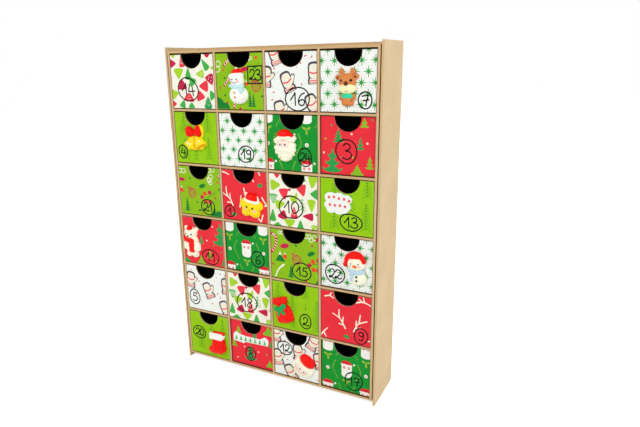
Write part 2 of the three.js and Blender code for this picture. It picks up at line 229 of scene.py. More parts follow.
def kraft_body(tree, light, dark):
    """Kraft liner: broad mottling, long fibres and dark flecks. Gives its colour and its relief."""
    fibres = noise(tree, 1500, 4, stretch=(1, 1, .12))
    flecks = math_node(tree, "MULTIPLY", noise(tree, 620, 2, .66, .72), .4)
    colour = mixed(tree, noise(tree, 46, 6), dark, light)
    colour = mixed(tree, math_node(tree, "MULTIPLY", fibres, .35), colour, shade(dark, .92))
    return mixed(tree, flecks, colour, shade(dark, .6)), fibres


def facing_front(tree):
    """1 where the surface faces the front, otherwise 0."""
    return math_node(tree, "LESS_THAN", axes(tree, "Normal")["Y"], -.9)


def kraft_material(name, face, edge, plies, shade_behind=None):
    """Kraft board: liner on its faces and, on the cut edge at the front, lines along the board.
    plies stretches the coordinates along the board; just behind the front plane shade_behind, faces take
    painted shade."""
    material, tree, surface = new_material(name)
    face, edge = srgb(*face), srgb(*edge)
    colour, fibres = kraft_body(tree, face, shade(face, .92))
    if shade_behind is not None:
        # Painted shade: faces up to half the depth behind the front turn dark, fading out by the full depth
        in_shade = ranged(tree, axes(tree, "Object")["Y"], shade_behind + PAINTED_SHADE_DEPTH, shade_behind + PAINTED_SHADE_DEPTH / 2)
        colour = mixed(tree, in_shade, colour, srgb(*PAINTED_SHADE))
    lines = noise(tree, 1.0, 3, .3, .7, plies)
    cut = mixed(tree, lines, shade(edge, .84), shade(edge, 1.06))
    front = facing_front(tree)
    height = math_node(tree, "ADD", fibres, math_node(tree, "MULTIPLY", lines, front))
    dress(tree, surface, mixed(tree, front, colour, cut), .85, .2, height, .04)
    return material


def inside_mask(tree, tray, column_pitch, row_pitch, card):
    """1 on the inner faces of every tray, which take painted shade, from the place within its bay, otherwise
    0.
    """
    low, high = tray
    at, facing = axes(tree, "Object"), axes(tree, "Normal")
    work, above = partial(math_node, tree), partial(math_node, tree, "GREATER_THAN")
    aside = work("SUBTRACT", at["X"], (low.x + high.x) / 2 - BAYS * column_pitch)
    above_floor = work("FLOORED_MODULO", work("SUBTRACT", at["Z"], low.z - BAYS * row_pitch), row_pitch)
    rear = above(facing["Y"], .5)
    deep = work("MAXIMUM", above(at["Y"], low.y + .3 * card), rear)
    outer_back = work("MULTIPLY", rear, above(at["Y"], 0.0))
    top_edge = work("MULTIPLY", above(facing["Z"], .5), above(above_floor, high.z - low.z - card))
    within = work("LESS_THAN", work("PINGPONG", aside, column_pitch / 2), (high.x - low.x) / 2 - .7 * card)
    held = work("MULTIPLY", within, above(above_floor, .7 * card))
    return work("MULTIPLY", held, above(work("SUBTRACT", deep, work("MAXIMUM", outer_back, top_edge)), .5))


def tray_material(tray, column_pitch, row_pitch, card):
    """Tray card: kraft outside, painted shade on its front faces, and a far darker painted shade on the inner
    faces.
    """
    material, tree, surface = new_material("tray_card")
    colour, fibres = kraft_body(tree, *(srgb(*tone) for tone in TRAY_OUTSIDE))
    inner, _ = kraft_body(tree, *(srgb(*tone) for tone in TRAY_INSIDE_SHADE))
    inside = inside_mask(tree, tray, column_pitch, row_pitch, card)
    # Painted shade: the trays' front faces take the dark shade colour
    colour = mixed(tree, facing_front(tree), colour, srgb(*PAINTED_SHADE))
    # Painted shade: the inner faces take the far darker inside tones
    dress(tree, surface, mixed(tree, inside, colour, inner), .9, .15, fibres, .04)
    return material


# Flat outlines: complex numbers, millimetres to the right plus millimetres up times 1j

def polar(size, degrees):
    return cmath.rect(size, math.radians(degrees))


def turned(outline, centre, degrees=0, size=1):
    return [centre + point * polar(size, degrees) for point in outline]


def placed(shapes, centre, degrees=0):
    return [(ink, turned(outline, centre, degrees)) for ink, outline in shapes]


def squashed(outline, across, up):
    return [complex(point.real * across / 2, point.imag * up / 2) for point in outline]


def bar(half, y):
    return [complex(-half, y), complex(half, y)]


def ellipse(centre, across, up, degrees=0, steps=14):
    ring = [cmath.rect(1, 2 * math.pi * i / steps) for i in range(steps)]
    return turned(squashed(ring, across, up), centre, degrees)


def dot(ink, centre, size, steps=14):
    return ink, ellipse(centre, size, size, 0, steps)


def rounded(corners, radius, steps=4):
    """The outline with each corner cut back by the radius and bridged by a curve."""
    outline = []
    for i, corner in enumerate(corners):
        ways = [near - corner for near in (corners[i - 1], corners[(i + 1) % len(corners)])]
        start, end = (corner + way / abs(way) * min(radius, abs(way) / 2.2) for way in ways)
        for t in (k / steps for k in range(steps + 1)):
            outline.append((1 - t) ** 2 * start + 2 * t * (1 - t) * corner + t * t * end)
    return outline


def peak(width, height):
    return [*bar(width / 2, -height / 2), complex(0, height / 2)]


def triangle(centre, width, height, degrees):
    """A soft triangle with full sides, its point up before it is turned."""
    corners = peak(width, height)
    ring = [point for i, corner in enumerate(corners)
            for point in (corner, (corner + corners[(i + 1) % 3]) / 2 * FULLNESS)]
    return turned(rounded(ring, SOFTNESS * min(width, height), 3), centre, degrees, TRIANGLE_SIZE)


def curve(points, per_span):
    """A smooth line through the points."""
    line = [points[0] * 2 - points[1], *points, points[-1] * 2 - points[-2]]
    smooth = []
    for a, b, c, d in zip(line, line[1:], line[2:], line[3:]):
        for t in (k / per_span for k in range(per_span)):
            smooth.append(.5 * (2 * b + (c - a) * t + (2 * a - 5 * b + 4 * c - d) * t * t
                                 + (3 * b - a - 3 * c + d) * t ** 3))
    return [*smooth, points[-1]]


def round_end(end, before, width):
    way = (end - before) / abs(end - before)
    return [end + way * cmath.rect(width / 2, angle) for angle in (-math.pi / 4, 0, math.pi / 4)]


def drawn(ink, lines, width, end_width=None):
    """Lines as short overlapping outlines with round ends, so that no outline crosses itself."""
    shapes = []
    for points in lines:
        line = curve(points, RUN) if len(points) > 2 else points
        last = len(line) - 1
        for start in range(0, last, RUN):
            part = line[start:start + RUN + 1]
            wide = [width + ((end_width or width) - width) * (start + i) / last for i in range(len(part))]
            left, right = [], []
            for i, point in enumerate(part):
                ahead = part[min(i + 1, len(part) - 1)] - part[max(i - 1, 0)]
                side = 1j * ahead / abs(ahead) * wide[i] / 2
                left.insert(0, point + side)
                right.append(point - side)
            shapes.append((ink, [*right, *round_end(part[-1], part[-2], wide[-1]),
                                 *left, *round_end(part[0], part[1], wide[0])]))
    return shapes


# Hand-drawn numbers: strokes in a box one unit high

DIGITS = {
    "0": [[.36+.98j, .1+.76j, .08+.32j, .34+.02j, .64+.3j, .66+.74j, .42+.99j, .28+.94j]],
    "1": [[.0+.42j, .2+.66j, .42+1j], [.42+1j, .43+.5j, .45+0j]],
    "2": [[.08+.74j, .2+.97j, .5+.96j, .58+.7j, .4+.36j, .14+.08j, .02+.14j, .16+.26j, .34+.12j, .52+.02j,
        .74+.14j]],
    "3": [[.1+.86j, .32+1j, .58+.86j, .5+.62j, .26+.54j, .56+.46j, .68+.2j, .44+.01j, .12+.06j, .0+.2j]],
    "4": [[.2+.96j, .13+.62j, .05+.36j], [.05+.36j, .36+.35j, .7+.38j], [.46+.7j, .5+.34j, .54+0j]],
    "5": [[.62+.98j, .22+.95j], [.22+.95j, .16+.6j, .42+.62j, .64+.4j, .54+.1j, .26+0j, .02+.1j]],
    "6": [[.62+.96j, .34+.84j, .1+.44j, .16+.08j, .44+0j, .64+.2j, .54+.44j, .28+.42j, .12+.24j]],
    "7": [[.02+.88j, .32+.93j, .64+.97j], [.64+.97j, .5+.56j, .4+0j], [.12+.46j, .4+.49j, .68+.55j]],
    "8": [[.58+.84j, .34+.99j, .12+.8j, .3+.56j, .58+.34j, .52+.06j, .26+0j, .06+.18j, .24+.46j, .5+.64j,
        .6+.82j]],
    "9": [[.58+.8j, .38+.97j, .12+.84j, .12+.6j, .36+.5j, .56+.66j, .6+.88j, .58+.5j, .5+.06j],
        [.5+.06j, .28+.0j, .06+.05j]],
}
DIGIT_STEP = .63
DIGIT_WIDTH = .66

# Each day's ring: its middle from the facing's middle, its size, the digits' height and its lean
NUMBERS = {
    "14": (-5.9-7.6j, 25.7, 22.1, 11.6, -14), "23": (17.6+6j, 15.7, 15.3, 9.6, 4),
    "16": (6.6-15.3j, 25.4, 20.4, 11.2, 6), "07": (15.9-15.6j, 12.9, 14, 9, 8),
    "04": (-17.9-14.7j, 11.1, 13.6, 9, -10), "19": (3.9-13.2j, 17.6, 16.6, 9.2, 10),
    "24": (13.1-12.5j, 14.3, 16.6, 8.6, 0), "03": (-1.1-4.7j, 19.6, 22.7, 14, 4),
    "21": (9.6-16j, 16.6, 17.3, 9.6, 6), "01": (-18.3-17.4j, 11.9, 12.6, 7.8, -8),
    "10": (-2.1-6j, 25.7, 23, 12, -4), "13": (4.4-14.1j, 21.7, 16.4, 10, 0),
    "11": (8.4-16.3j, 21, 17.6, 10.4, -6), "06": (11.9-10.6j, 16.3, 16.9, 10, 0),
    "15": (8.2-15.1j, 21.4, 17.9, 9.6, 4), "22": (-11.7-12j, 19.9, 19.6, 9.4, 0),
    "05": (-16.9-11.7j, 14, 17.9, 10, -6), "18": (-2.8-5.6j, 25.1, 21.9, 10.6, 0),
    "02": (11.6-13.2j, 12.3, 16.9, 9.2, 0), "09": (16.3-16.1j, 14.1, 17, 9.4, 6),
    "20": (-14+.5j, 16.7, 16.3, 8.6, 0), "08": (-1.8-11.9j, 12.6, 16, 10, 0),
    "12": (-13.2+6.4j, 17.1, 16, 8.8, -4), "17": (8.9-12.9j, 19, 19.9, 9.4, 4)
}


def ring_lines(day, centre, across, up, lean):
    """The wobbly ring round a number, whose end overshoots its start, or day 23's frame."""
    if day == "23":
        half = complex(across / 2, up / 2)
        corners = [-half, half.conjugate() - .4, half + .5j, -half.conjugate() + .3, -half + .3j]
        return [[centre + start, centre + end] for start, end in zip(corners, corners[1:])]
    wobble = int(day) * .7
    angles = [math.radians(100 + lean + 378 * i / 24) for i in range(25)]
    line = [cmath.rect(1 + .035 * math.sin(2 * t + wobble) + .02 * math.cos(3 * t + 2 * wobble), t)
            * (1 - .0016 * i) for i, t in enumerate(angles)]
    return [turned(squashed(line, across, up), centre, lean / 2)]


def number(day):
    centre, across, up, height, lean = NUMBERS[day]
    text = str(int(day))
    width = (DIGIT_STEP * (len(text) - 1) + DIGIT_WIDTH) * height
    lines = ring_lines(day, centre, across, up, lean)
    for i, digit in enumerate(text):
        start = centre + complex(DIGIT_STEP * i * height - width / 2, -height / 2)
        lines += [turned(line, start, 0, height) for line in DIGITS[digit]]
    return drawn("marker", lines, MARKER_WIDTH)


# Print motifs: each gives (ink, outline) pairs, the later ones on top

SPOTS = [-.22-.26j, .2-.28j, 0.0+.02j, -.02+.34j, .02-.5j + .08j]


def soft_triangles(rows):
    """Rows of ink, middle, width, height and turn; a sixth value adds dots or stripes in cream."""
    shapes = []
    for ink, centre, width, height, degrees, *extra in rows:
        shapes.append((ink, triangle(centre, width, height, degrees)))
        size = min(width, height)
        if extra == ["dots"]:
            shapes += [dot("cream", spot, .9, 8) for spot in turned(SPOTS, centre, degrees, size)]
        if extra == ["stripes"]:
            bars = [bar(.5 - .4 * (step + .3), step) for step in (-.3, -.1, .1)]
            shapes += drawn("cream", [turned(line, centre, degrees, size) for line in bars], .5)
    return shapes


def starbursts(start):
    """Green bursts of eight blunt points on a slanted lattice, with a small dot beside each."""
    ring = []
    for i in range(8):
        angle, reach = math.pi / 2 + math.pi * i / 4, (4.6, 3.4)[i % 2]
        ring += [cmath.rect(reach, angle - .2 / reach), cmath.rect(reach, angle + .2 / reach),
                 cmath.rect(1.25, angle + math.pi / 8)]
    burst = [("starburst", ring), dot("starburst", 0, 2.6, 10), dot("dot", -3.1-4.6j, .8, 8)]
    return [shape for row in range(-1, 7) for column in range(-1, 6)
            for shape in placed(burst, start + complex(12.4 * column - row % 2 * 6.2, -9.2 * row))]


def chevron_pine(x, low, high, width=9.6, ink="lime_line"):
    """A thin pine: a stem with a ladder of drooping branches."""
    shapes = drawn(ink, [[complex(x, low), complex(x, high)]], .7)
    count = max(2, int((high - low) / 2.7))
    for i in range(count):
        top = complex(x, high - (high - low) * i / count)
        reach = width / 2 * min(1, .4 + 1.1 * i / count)
        shapes += drawn(ink, [[top, top + complex(side * reach, -.8 * reach)] for side in (-1, 1)], .85, .5)
    return shapes


def each(motif, rows):
    """The motif, drawn for every row of its values."""
    return [shape for row in rows for shape in motif(*row)]


def fir(ink, x, low, high, width, tiers, curl=0):
    """A fir of stacked tiers; curl turns the tiers' tips up."""
    shapes = drawn(ink, [[complex(x, low), complex(x, high)]], width * .09)
    step = (high - low) * .92 / tiers
    for i in range(tiers):
        reach = width / 2 * (i + 1.7) / (tiers + .7)
        top = high - step * i * .96
        foot = top - step * 1.25
        tip = foot + step * curl
        right = [complex(share * reach, y) for share, y in (
            (.26, top - (.28 + .3 * curl) * step), (.64, foot + .42 * step),
            (1, tip + (.22 - .1 * curl) * step), (.95, tip - .3 * curl * step), (.5, foot - .04 * step))]
        left = [-point.conjugate() for point in right]
        shapes.append((ink, turned([*right[::-1], 1j * top, *left, 1j * foot], x)))
    return shapes


def stars(rows, size=2.6):
    ring = [cmath.rect(size / 2 / (1 + i % 2), math.pi / 2 + math.pi * i / 5) for i in range(10)]
    return [(ink, turned(ring, centre, 10)) for ink, *centres in rows for centre in centres]


def village(shift):
    """Snowed-in cottages with lit windows, each in a pair of dashed arcs over a three-leaf sprig."""
    arc, foot = ((12, 7.2), (14.8, -1.7), (9.2, -12.4)), -14.6j
    home = [("sprig", ellipse(point, 1.4, .8, 30 + 50 * (i % 2), 8)) for side in (-1, 1)
            for i, point in enumerate(curve([complex(side * x, y) for x, y in arc], 5))]
    for degrees in (28, 152, 275):
        home += [("sprig", ellipse(foot + polar(2.4, degrees), 4.6, 2, degrees)),
                 *drawn("green", [[foot, foot + polar(3.6, degrees)]], .35)]
    home += [("wall", rounded([-5.4-8j, -2-9.6j, 3-9.4j, 5.6-7.6j, 5.6+5j, -5.4+5j], 1.6)),
             ("roof", rounded([-6.4+4.6j, 6.6+4.6j, 3.6+9.4j, -3.8+9.4j], 2.2)),
             *(("wall", ellipse(x + 4.6j, 3.4, 1.9, 0, 10)) for x in (-4.6, -1.6, 1.6, 4.6)),
             *(("window", rounded([x - 1.4, x + 1.4, x + 1.4+2.8j, x - 1.4+2.8j], .5)) for x in (-2.6, 2.4)),
             dot("wall", 8+6.6j, 2.2, 10)]
    shapes = [shape for place in (0, -20.3+26j, 20.3+26j, -20.3-26j, 20.3-26j)
              for shape in placed(home, shift + place)]
    for place in (-20.4-2.7j, 20.6-2.7j):
        shapes += [dot("wall", shift + place, 3.8), dot("rose", shift + place, 1.6, 8)]
    return shapes


def mitten(centre, degrees):
    """A knitted mitten with a dark edge and a striped cuff."""
    parts = ((rounded([3.2-4j, 6.4-1.4j, 9.2+2.4j, 7.2+4.8j, 4.4+2.2j, 2.6+0j], 1.6), 5.4+.6j),
             (rounded([-4.6-4.8j, 4.6-4.8j, 5.2+2j, 4.2+8.4j, -4.2+8.4j, -5+2j], 3.2), 1.6j),
             (rounded([-5.4-9j, 5.4-9j, 5.2-4.4j, -5.2-4.4j], 1.2), -6.7j))
    shapes = [(ink, [middle + (point - middle) * size for point in part])
              for ink, size in (("outline", 1.22), ("wool", .94)) for part, middle in parts]
    shapes += drawn("tick", [bar(4.6, -7.8), bar(4.6, -6.2)], .9)
    return placed(shapes + drawn("tick", [[-4.6+1.2j, -.2j, 4.6+1.2j]], 1.3), centre, degrees)


def ticks(places):
    """Small slanted dashes, every third one pale."""
    shapes = []
    for i, centre in enumerate(places):
        reach = polar(.7, 15 + 37 * i)
        shapes += drawn("tick_pale" if i % 3 == 2 else "tick", [[centre - reach, centre + reach]], 1.1)
    return shapes


def bauble(centre):
    """A hatched tree bauble with its hook."""
    radius, hook = 4.8, polar(5.8, 128)
    lines = [turned(bar(math.sqrt(1 - y * y) * radius * .95, y * radius), 0, 35)
             for y in (-.55, -.1, .35, .7)]
    lines += [[hook, hook + polar(2.4, lean)] for lean in (70, 128, 186)]
    ring = [polar(radius, 36 * i) for i in range(11)]
    return placed(drawn("ruby", [ring], .9) + drawn("ruby", lines, .8), centre)


def holly(ink, centre, degrees, size):
    """A leaf with a spiked edge."""
    ring = [cmath.rect(size / 2 * (.74 if i % 2 else 1), 2 * math.pi * i / 16) for i in range(16)]
    return [(ink, turned(squashed(ring, 2, 1.04), centre, degrees))]


def snowy_peak(ink, centre, width, height):
    """A triangle with a snow cap."""
    high = height / 2
    cap = [complex(-width * .2, high * .2), complex(0, high * .42), complex(width * .2, high * .2),
           complex(0, high * 1.1)]
    return [(ink, turned(peak(width, height), centre)), ("branch", turned(cap, centre))]


def candy_cane(points, width=2.4):
    """A striped line of sugar."""
    line, stripes = curve(points, 4), []
    for before, point, after in list(zip(line, line[1:], line[2:]))[::2]:
        across = (after - before) / abs(after - before) * polar(width * .36, 65)
        stripes.append([point - across, point + across])
    return drawn("ruby", [points], width) + drawn("branch", stripes, .9)


def knot(centre, size, degrees):
    """A loose white knot of cord."""
    middles = [centre + polar(size * .28, degrees + side) for side in (0, 180)]
    loops = [[middle + polar(size * .3, 60 * i + degrees) for i in range(7)] for middle in middles]
    return drawn("branch", loops, .7)


def berries(rows, size):
    return [dot(ink, centre, size) for ink, *centres in rows for centre in centres]


# Layouts of the prints, in millimetres from the middle of a facing

PRINT_14 = soft_triangles([("ruby", -22.6+17j, 7.8, 6.7, -90), ("rose", -12.4+19.5j, 6.6, 9.4, 8, "dots"),
    ("ruby", 18.8+24j, 8.3, 5, 180), ("leaf", 15+16.4j, 6.5, 10.6, 35),
    ("leaf_light", -16.9+6.4j, 11.3, 9.3, 180), ("leaf", -5.3+7.8j, 7, 10, 0),
    ("leaf_light", 8.3+6.7j, 7.8, 8.6, 90, "dots"), ("leaf_light", 24.7+12.2j, 5.6, 6.4, 90),
    ("ruby", 21.9+.3j, 9.8, 9.6, 205, "dots"), ("ruby", -14.8-5.4j, 10.5, 9, 125),
    ("leaf", -1.2-2.2j, 8.6, 8.2, 160), ("rose", 11.9-4.9j, 10.6, 9.6, 90),
    ("leaf_light", -22.6-12.2j, 10, 8.8, -80), ("rose", -5.7-14.7j, 12.6, 8, -6, "dots"),
    ("rose", 6.9-16j, 10, 9, 140), ("leaf", 23.9-13.8j, 9.4, 6.4, -90),
    ("pine", 17.2-19.7j, 8.8, 10.4, 0, "dots"), ("leaf", -13.4-21.6j, 7.4, 7.2, -20),
    ("leaf", -3.2-23j, 7.6, 5, 0), ("rose", -24.3-22.4j, 6.4, 5, -90),
    ("leaf_light", -22.6+24j, 6, 4, 180)])
PRINT_10 = (soft_triangles([("leaf_light", -18.2+15.2j, 10.4, 9.6, -85), ("rose", -17.1+24j, 6.6, 4.6, 180),
    ("leaf_light", 20.7+19.7j, 9.6, 10.6, 172), ("leaf", 11.6+23.6j, 4, 4.4, 0),
    ("rose", -9.6+5.8j, 10, 10, 188), ("rose", 10.1+10.8j, 10.4, 10, 198),
    ("ruby", -3.8+11j, 3.6, 2.4, 180), ("leaf_light", 2.9+5.4j, 5, 9, -18),
    ("leaf_light", -.2+1.9j, 7.6, 6.6, 172), ("leaf", 22+9.3j, 10, 7.8, 90),
    ("leaf_pale", -21.6+.4j, 8.8, 9, 180, "stripes"), ("leaf_light", -13.2-3.3j, 9.2, 9.4, -75),
    ("leaf_light", 19.6-3.1j, 8.2, 11, 180), ("rose", .9-10j, 7.4, 11, 0, "dots"),
    ("ruby", -11-13.1j, 10.6, 8.4, -14), ("ruby", 14.9-13.1j, 7.4, 10, 90),
    ("leaf", -22.7-14.8j, 6.8, 10.8, 0), ("leaf_light", -4.1-22.6j, 11.6, 7.6, 180),
    ("leaf", 7.7-22j, 7.2, 9.6, 0), ("leaf", -17.3-24.4j, 10.4, 4.4, 0),
    ("leaf_light", 21.8-23.1j, 9.4, 6.8, 50, "dots"), ("leaf", 25.3-10.3j, 4, 4, 90)])
    + chevron_pine(9.6, -8.4, 3.2, 7.4, "leaf"))
PRINT_04 = each(chevron_pine, [(-15.3, 4.8, 23.7), (-15.3, -24, -3), (14.3, 4.8, 24), (14.1, -23, -.8),
    (-2, -24.7, -14)])
PRINT_02 = each(chevron_pine, [(-20.4, 8.5, 24), (11.2, 11.9, 24.5), (-4.3, -4.8, 11.9),
    (10.7, -1.4, 5.8, 4), (-3.2, -23.7, -8), (23.4, -22.6, 10.8)])
PRINT_20 = each(chevron_pine, [(-13.7, -17.3, 8.2), (1.3, 7.1, 12.7), (16.9, 1.6, 22.7), (2, -24, -12)])
PRINT_03 = (each(fir, [("pine", -9.3, 2.4, 14.4, 11, 4), ("pine", 11.6, -3.2, 8, 7, 3, .25),
    ("pine", -14.9, -24.8, -3.8, 20, 3, .5), ("pine_lime", 20.7, -19.8, -8.6, 8.4, 3, .3),
    ("pine_lime", 9, -25, -16.6, 12, 1), ("pine_lime", 15.1, 16.8, 24.6, 8, 2)])
    + stars([("pine", -15.8+17.6j, 22.3+23.4j), ("pine_lime", -21.6+5.7j, 4.6-10j),
    ("branch", 3.4+10.6j, 18.1+2.9j, -23.4-6.9j, -5.7-9.7j)]))
PRINT_11 = (each(fir, [("pine", 21.9, -1.4, 22.9, 20, 3, .5), ("pine", -3.1, -2, 7.1, 6.6, 3),
    ("pine_lime", -4.8, -24.4, -16, 11, 1), ("pine_lime", 6.9, -17.4, -8.3, 7.6, 3),
    ("pine", 24.7, -23.4, -16.2, 8, 2), ("pine", -24, -25, -19, 9, 1, .4), ("pine", -23, 2, 12, 8, 2)])
    + stars([("branch", 12.4+19.1j, 3.9+2.7j), ("pine", 12.4-1.8j, 21.7-8.4j), ("pine_lime", 15.2-20.3j)]))
PRINT_09 = (drawn("branch", [[-1-10.9j, -3.8-5.9j, -7.1-.9j, -14.3+2.8j], [-7.1-.9j, -7.9+3j, -7.7+8j],
    [-4.1-5.3j, -3.6-2j, -3.4+.8j], [-3-7.6j, -7.7-6.8j], [7.7-12.6j, 10.1-7j, 12.6-3.1j, 21+1j],
    [13-2.6j, 13.6+2j, 14.2+6.3j], [10.4-6.2j, 10.1-3j, 10.3-.6j], [9.6-8.6j, 14.6-7.2j],
    [-22.6+19.6j, -18+21j, -13.6+19j], [-18+21j, -16+24j], [9.6+18.4j, 17+20.4j, 25.4+17.6j],
    [16+20j, 12.6+23j], [18+20j, 17+25j], [-27-23j, -23.4-18j, -19.9-14.2j], [-23.6-20j, -21.6-24j],
    [25.4-19j, 22.6-19.4j]], 1.5, 1.125)
    + [("pine", ellipse(.1-19.6j, 6, 4, -12)), dot("forest", .4-15.4j, 1, 8),
    dot("forest", 3.8-16.4j, 1, 8)])
PRINT_01 = (drawn("branch", [[-14.7-10.9j, -18-4.2j, -26.4+1.3j], [-20.4-1.8j, -22+3j, -22.1+8j],
    [-17.6-5j, -17.9-2j, -17.7+1.3j], [-21-8j, -15.8-8.2j], [-26+23.4j, -22+22.4j, -18+20.9j],
    [16.8+25.6j, 18.3+22.6j], [-.8+8j, .2+2j, 1-2j], [-6.4-12j, -5.4-6j, -4.7+.2j],
    [19.8+.4j, 22.6-4j, 26.4-8.3j], [22.8-7.8j, 27-7.6j], [20.3-17.6j, 18.1-24.8j],
    [14.8-21.6j, 18.1-24.8j], [8.4+19j, 11+15.6j]], 1.5, 1.125)
    + [("pine", ellipse(18.1+12.4j, 5.6, 4.4, 20)), ("pine", ellipse(-13.6-20.1j, 6, 4, -10)),
    dot("forest", 15.3+16.3j, 1, 8), dot("forest", 18.7+17.8j, 1, 8), dot("forest", -9.7-16.4j, 1, 8)])
PRINT_23 = (candy_cane([-16+14.6j, -12.4+18.6j, -10+19.6j]) + candy_cane([-17-3.4j, -13.4+.4j, -11+3j])
    + knot(-23.4+14j, 9, 80) + knot(12+20.6j, 5, 20) + holly("ruby", 6.4+11.2j, 10, 10) + bauble(18.7-4.4j)
    + snowy_peak("orange", 8-1j, 5, 5) + fir("forest", 11.6, -24, -8.8, 6, 6)
    + fir("forest", 15.4, -24, -11, 5.4, 5) + holly("forest", 18+13j, 30, 5) + [("forest",
    rounded([-26-25.4j, -11-25.4j, -14.4-19j, -18-20j, -21-16j, -26-14j], 1.2))]
    + candy_cane([-6.6-24j, -5.4-19.6j], 2.8) + berries([("orange", 19.4+21.4j), ("ruby", .3-25j)], 3)
    + berries([("orange", -17.2+10.9j), ("ruby", -21.7-5.8j, -14.1-19.3j),
    ("forest", -16.3+3.3j, -16.6-12.7j, 24.8-13.3j)], 2.2))
PRINT_21 = (knot(-22+20.6j, 8, 0) + knot(15+23.6j, 8, 10) + knot(13.6+14.6j, 8, 60) + knot(13+12j, 7, 120)
    + holly("ruby", -22.6+11.4j, -5, 9) + holly("forest", 3.2+6.1j, 20, 10)
    + drawn("forest", [[9-6j, 14-3j, 19.4+.6j]], .6) + bauble(-10.3-2.4j) + snowy_peak("orange", -24+1j, 7, 7)
    + fir("forest", -17.8, -23.4, -7.8, 7, 5) + fir("forest", 17, -26, -16, 10, 5) + [("forest",
    rounded([12-25.4j, 25.6-25.4j, 25.6-20j, 21-19j, 18-22j, 14-22j], 1))]
    + holly("forest", -1.6-20.6j, 20, 5) + candy_cane([24.4+17.4j, 26.4+20j])
    + berries([("orange", 6-2j, 6.9-10.1j), ("ruby", 2.1-5.8j, 12.1-.3j, 12.1-10.3j)], 4.8)
    + berries([("orange", 22.7+11.1j, 1.3-23.4j), ("ruby", 19.1-5.7j, 4.7+13.8j),
    ("forest", -12+13.3j, -4.6-12j, 24.1+4.1j)], 2.3))
PRINT_15 = (candy_cane([-25.4+20.4j, -22+18.6j, -20.8+12.7j, -22.4+7j, -25.6+1.4j], 2.8)
    + holly("ruby", -11.6+9.1j, 14, 12) + knot(-15.6+22.6j, 5, 0) + knot(14+22j, 7, 0)
    + knot(19.6+20.4j, 8, 30) + holly("ruby", 24+20j, 80, 6) + holly("forest", 17.6+4.9j, 28, 10)
    + snowy_peak("forest", -16.8-2.6j, 11, 10.4) + snowy_peak("orange", -11.2-.6j, 6, 6.4)
    + bauble(1.8-3.4j) + drawn("branch", [[-12.7-10.7j, -18.4-16j, -22.7-24.6j]], 2, 1.2)
    + fir("forest", -4.9, -24, -9.6, 7, 5) + holly("forest", 25-24j, 50, 8)
    + drawn("forest", [[14-8j, 19-6j, 25-4j]], .6) + berries([("orange", 19.6-2.9j, 20.3-11.2j),
    ("ruby", 15.7-7.1j, 25.4-1j, 25.4-11.4j)], 4.8)
    + berries([("ruby", 18.7+13.2j, -24.9-11.8j, 11.8-24.6j), ("forest", 1.2+11j)], 2.4))
PRINT_16 = (each(mitten, [(-3.8-1.3j, 24), (-26+3.7j, -8), (-16.2+23j, 20), (22.9+6.4j, 4), (21-20.6j, 24),
    (-11.6-27j, 16)]) + ticks([14.6+21.1j, 20.7+20.3j, 6+11.6j, 9.6+15.3j, -17.1+10.9j, -14+6.7j, -9.6+3.2j,
    10.7-3.3j, -19.6-5.8j, -18.2-10.2j, -19.9-16.9j, -11.6-16.3j]))
PRINT_05 = (each(mitten, [(.8-1.4j, 24), (-22.6+8j, -6), (24.7+7.4j, 4), (22-19.4j, 24)]) + ticks([18+20.8j,
    24+20.2j, 12.7+15.4j, -13.9+11.3j, -10.9+7.7j, -7.6+4.7j, 13-3.1j, 16.3-7j, -8.7-15.3j, -15.9-8.7j,
    5.2-16.4j, 9.6+11j, -21+20j]))
PRINT_12 = (each(mitten, [(.1+5.2j, 8), (17.3+20.4j, -24), (24+.4j, 14), (-9-20.4j, 30), (-24.4-5.6j, 12),
    (-26+21.6j, 0)]) + ticks([-17.1+22.1j, -15.4+15.4j, 14.6+10.4j, 17.9+6.6j, -12.7-6.2j, -23.6-15.7j,
    22.9+13.2j, -6-3.1j, 4-15j, 22-22j, -16+1j]))
PRINT_13 = (each(chevron_pine, [(-11.9, 11.3, 25), (19, 10.2, 25), (3.2, -4.2, 11.3), (-12.7, -20.9, -6.4),
    (18.4, -19.8, 4.7)]) + [("white", ellipse(centre, size * 1.3, size)) for centre, size in [(-16+8j, 10),
    (-8+8.6j, 9), (-1+7j, 9), (-17+1j, 9), (-9+1j, 12), (-2+.4j, 9), (-16-3.4j, 7), (-8-3.6j, 8),
    (-3-3.4j, 6)]] + stars([("rose", -18+8j, -13+8.6j, -8+7.6j, -3+7.4j, 2+6j, -17+1j, -12+.8j, -7+1j,
    -2+.4j)], 3.9))
PRINT_08 = (each(fir, [("pine_lime", -17.4, 9.8, 18, 8.4, 3), ("pine_lime", 20.9, 15.6, 25.4, 14, 1),
    ("pine", 3.1, 7, 14.4, 8, 2), ("pine_lime", 21.4, -23, -15.6, 10, 1),
    ("pine", -3, -21, -2.6, 16, 3, .5), ("pine", 23.7, .2, 8.4, 7, 3),
    ("pine_lime", -23.6, -7.4, 1.8, 8, 2)]) + [("white", rounded([-24.7-.4j, -14-1.2j, -12-2.2j, -9+.2j,
    19.6+1.2j, 20.6+8.4j, 16+11.6j, 10+7.6j, -8+7.4j, -16+8.6j, -21+11j, -24+7.6j], 1.4))] + each(fir,
    [("leaf", -20.6 + 6 * i, 1.2 + .1 * i, 6.6 + .1 * i, 3.8, 2) for i in range(7)])
    + stars([("branch", -10.6-5.7j, 7.3-8.4j, -19.7-20.9j), ("pine_lime", 17.6-9j)]))

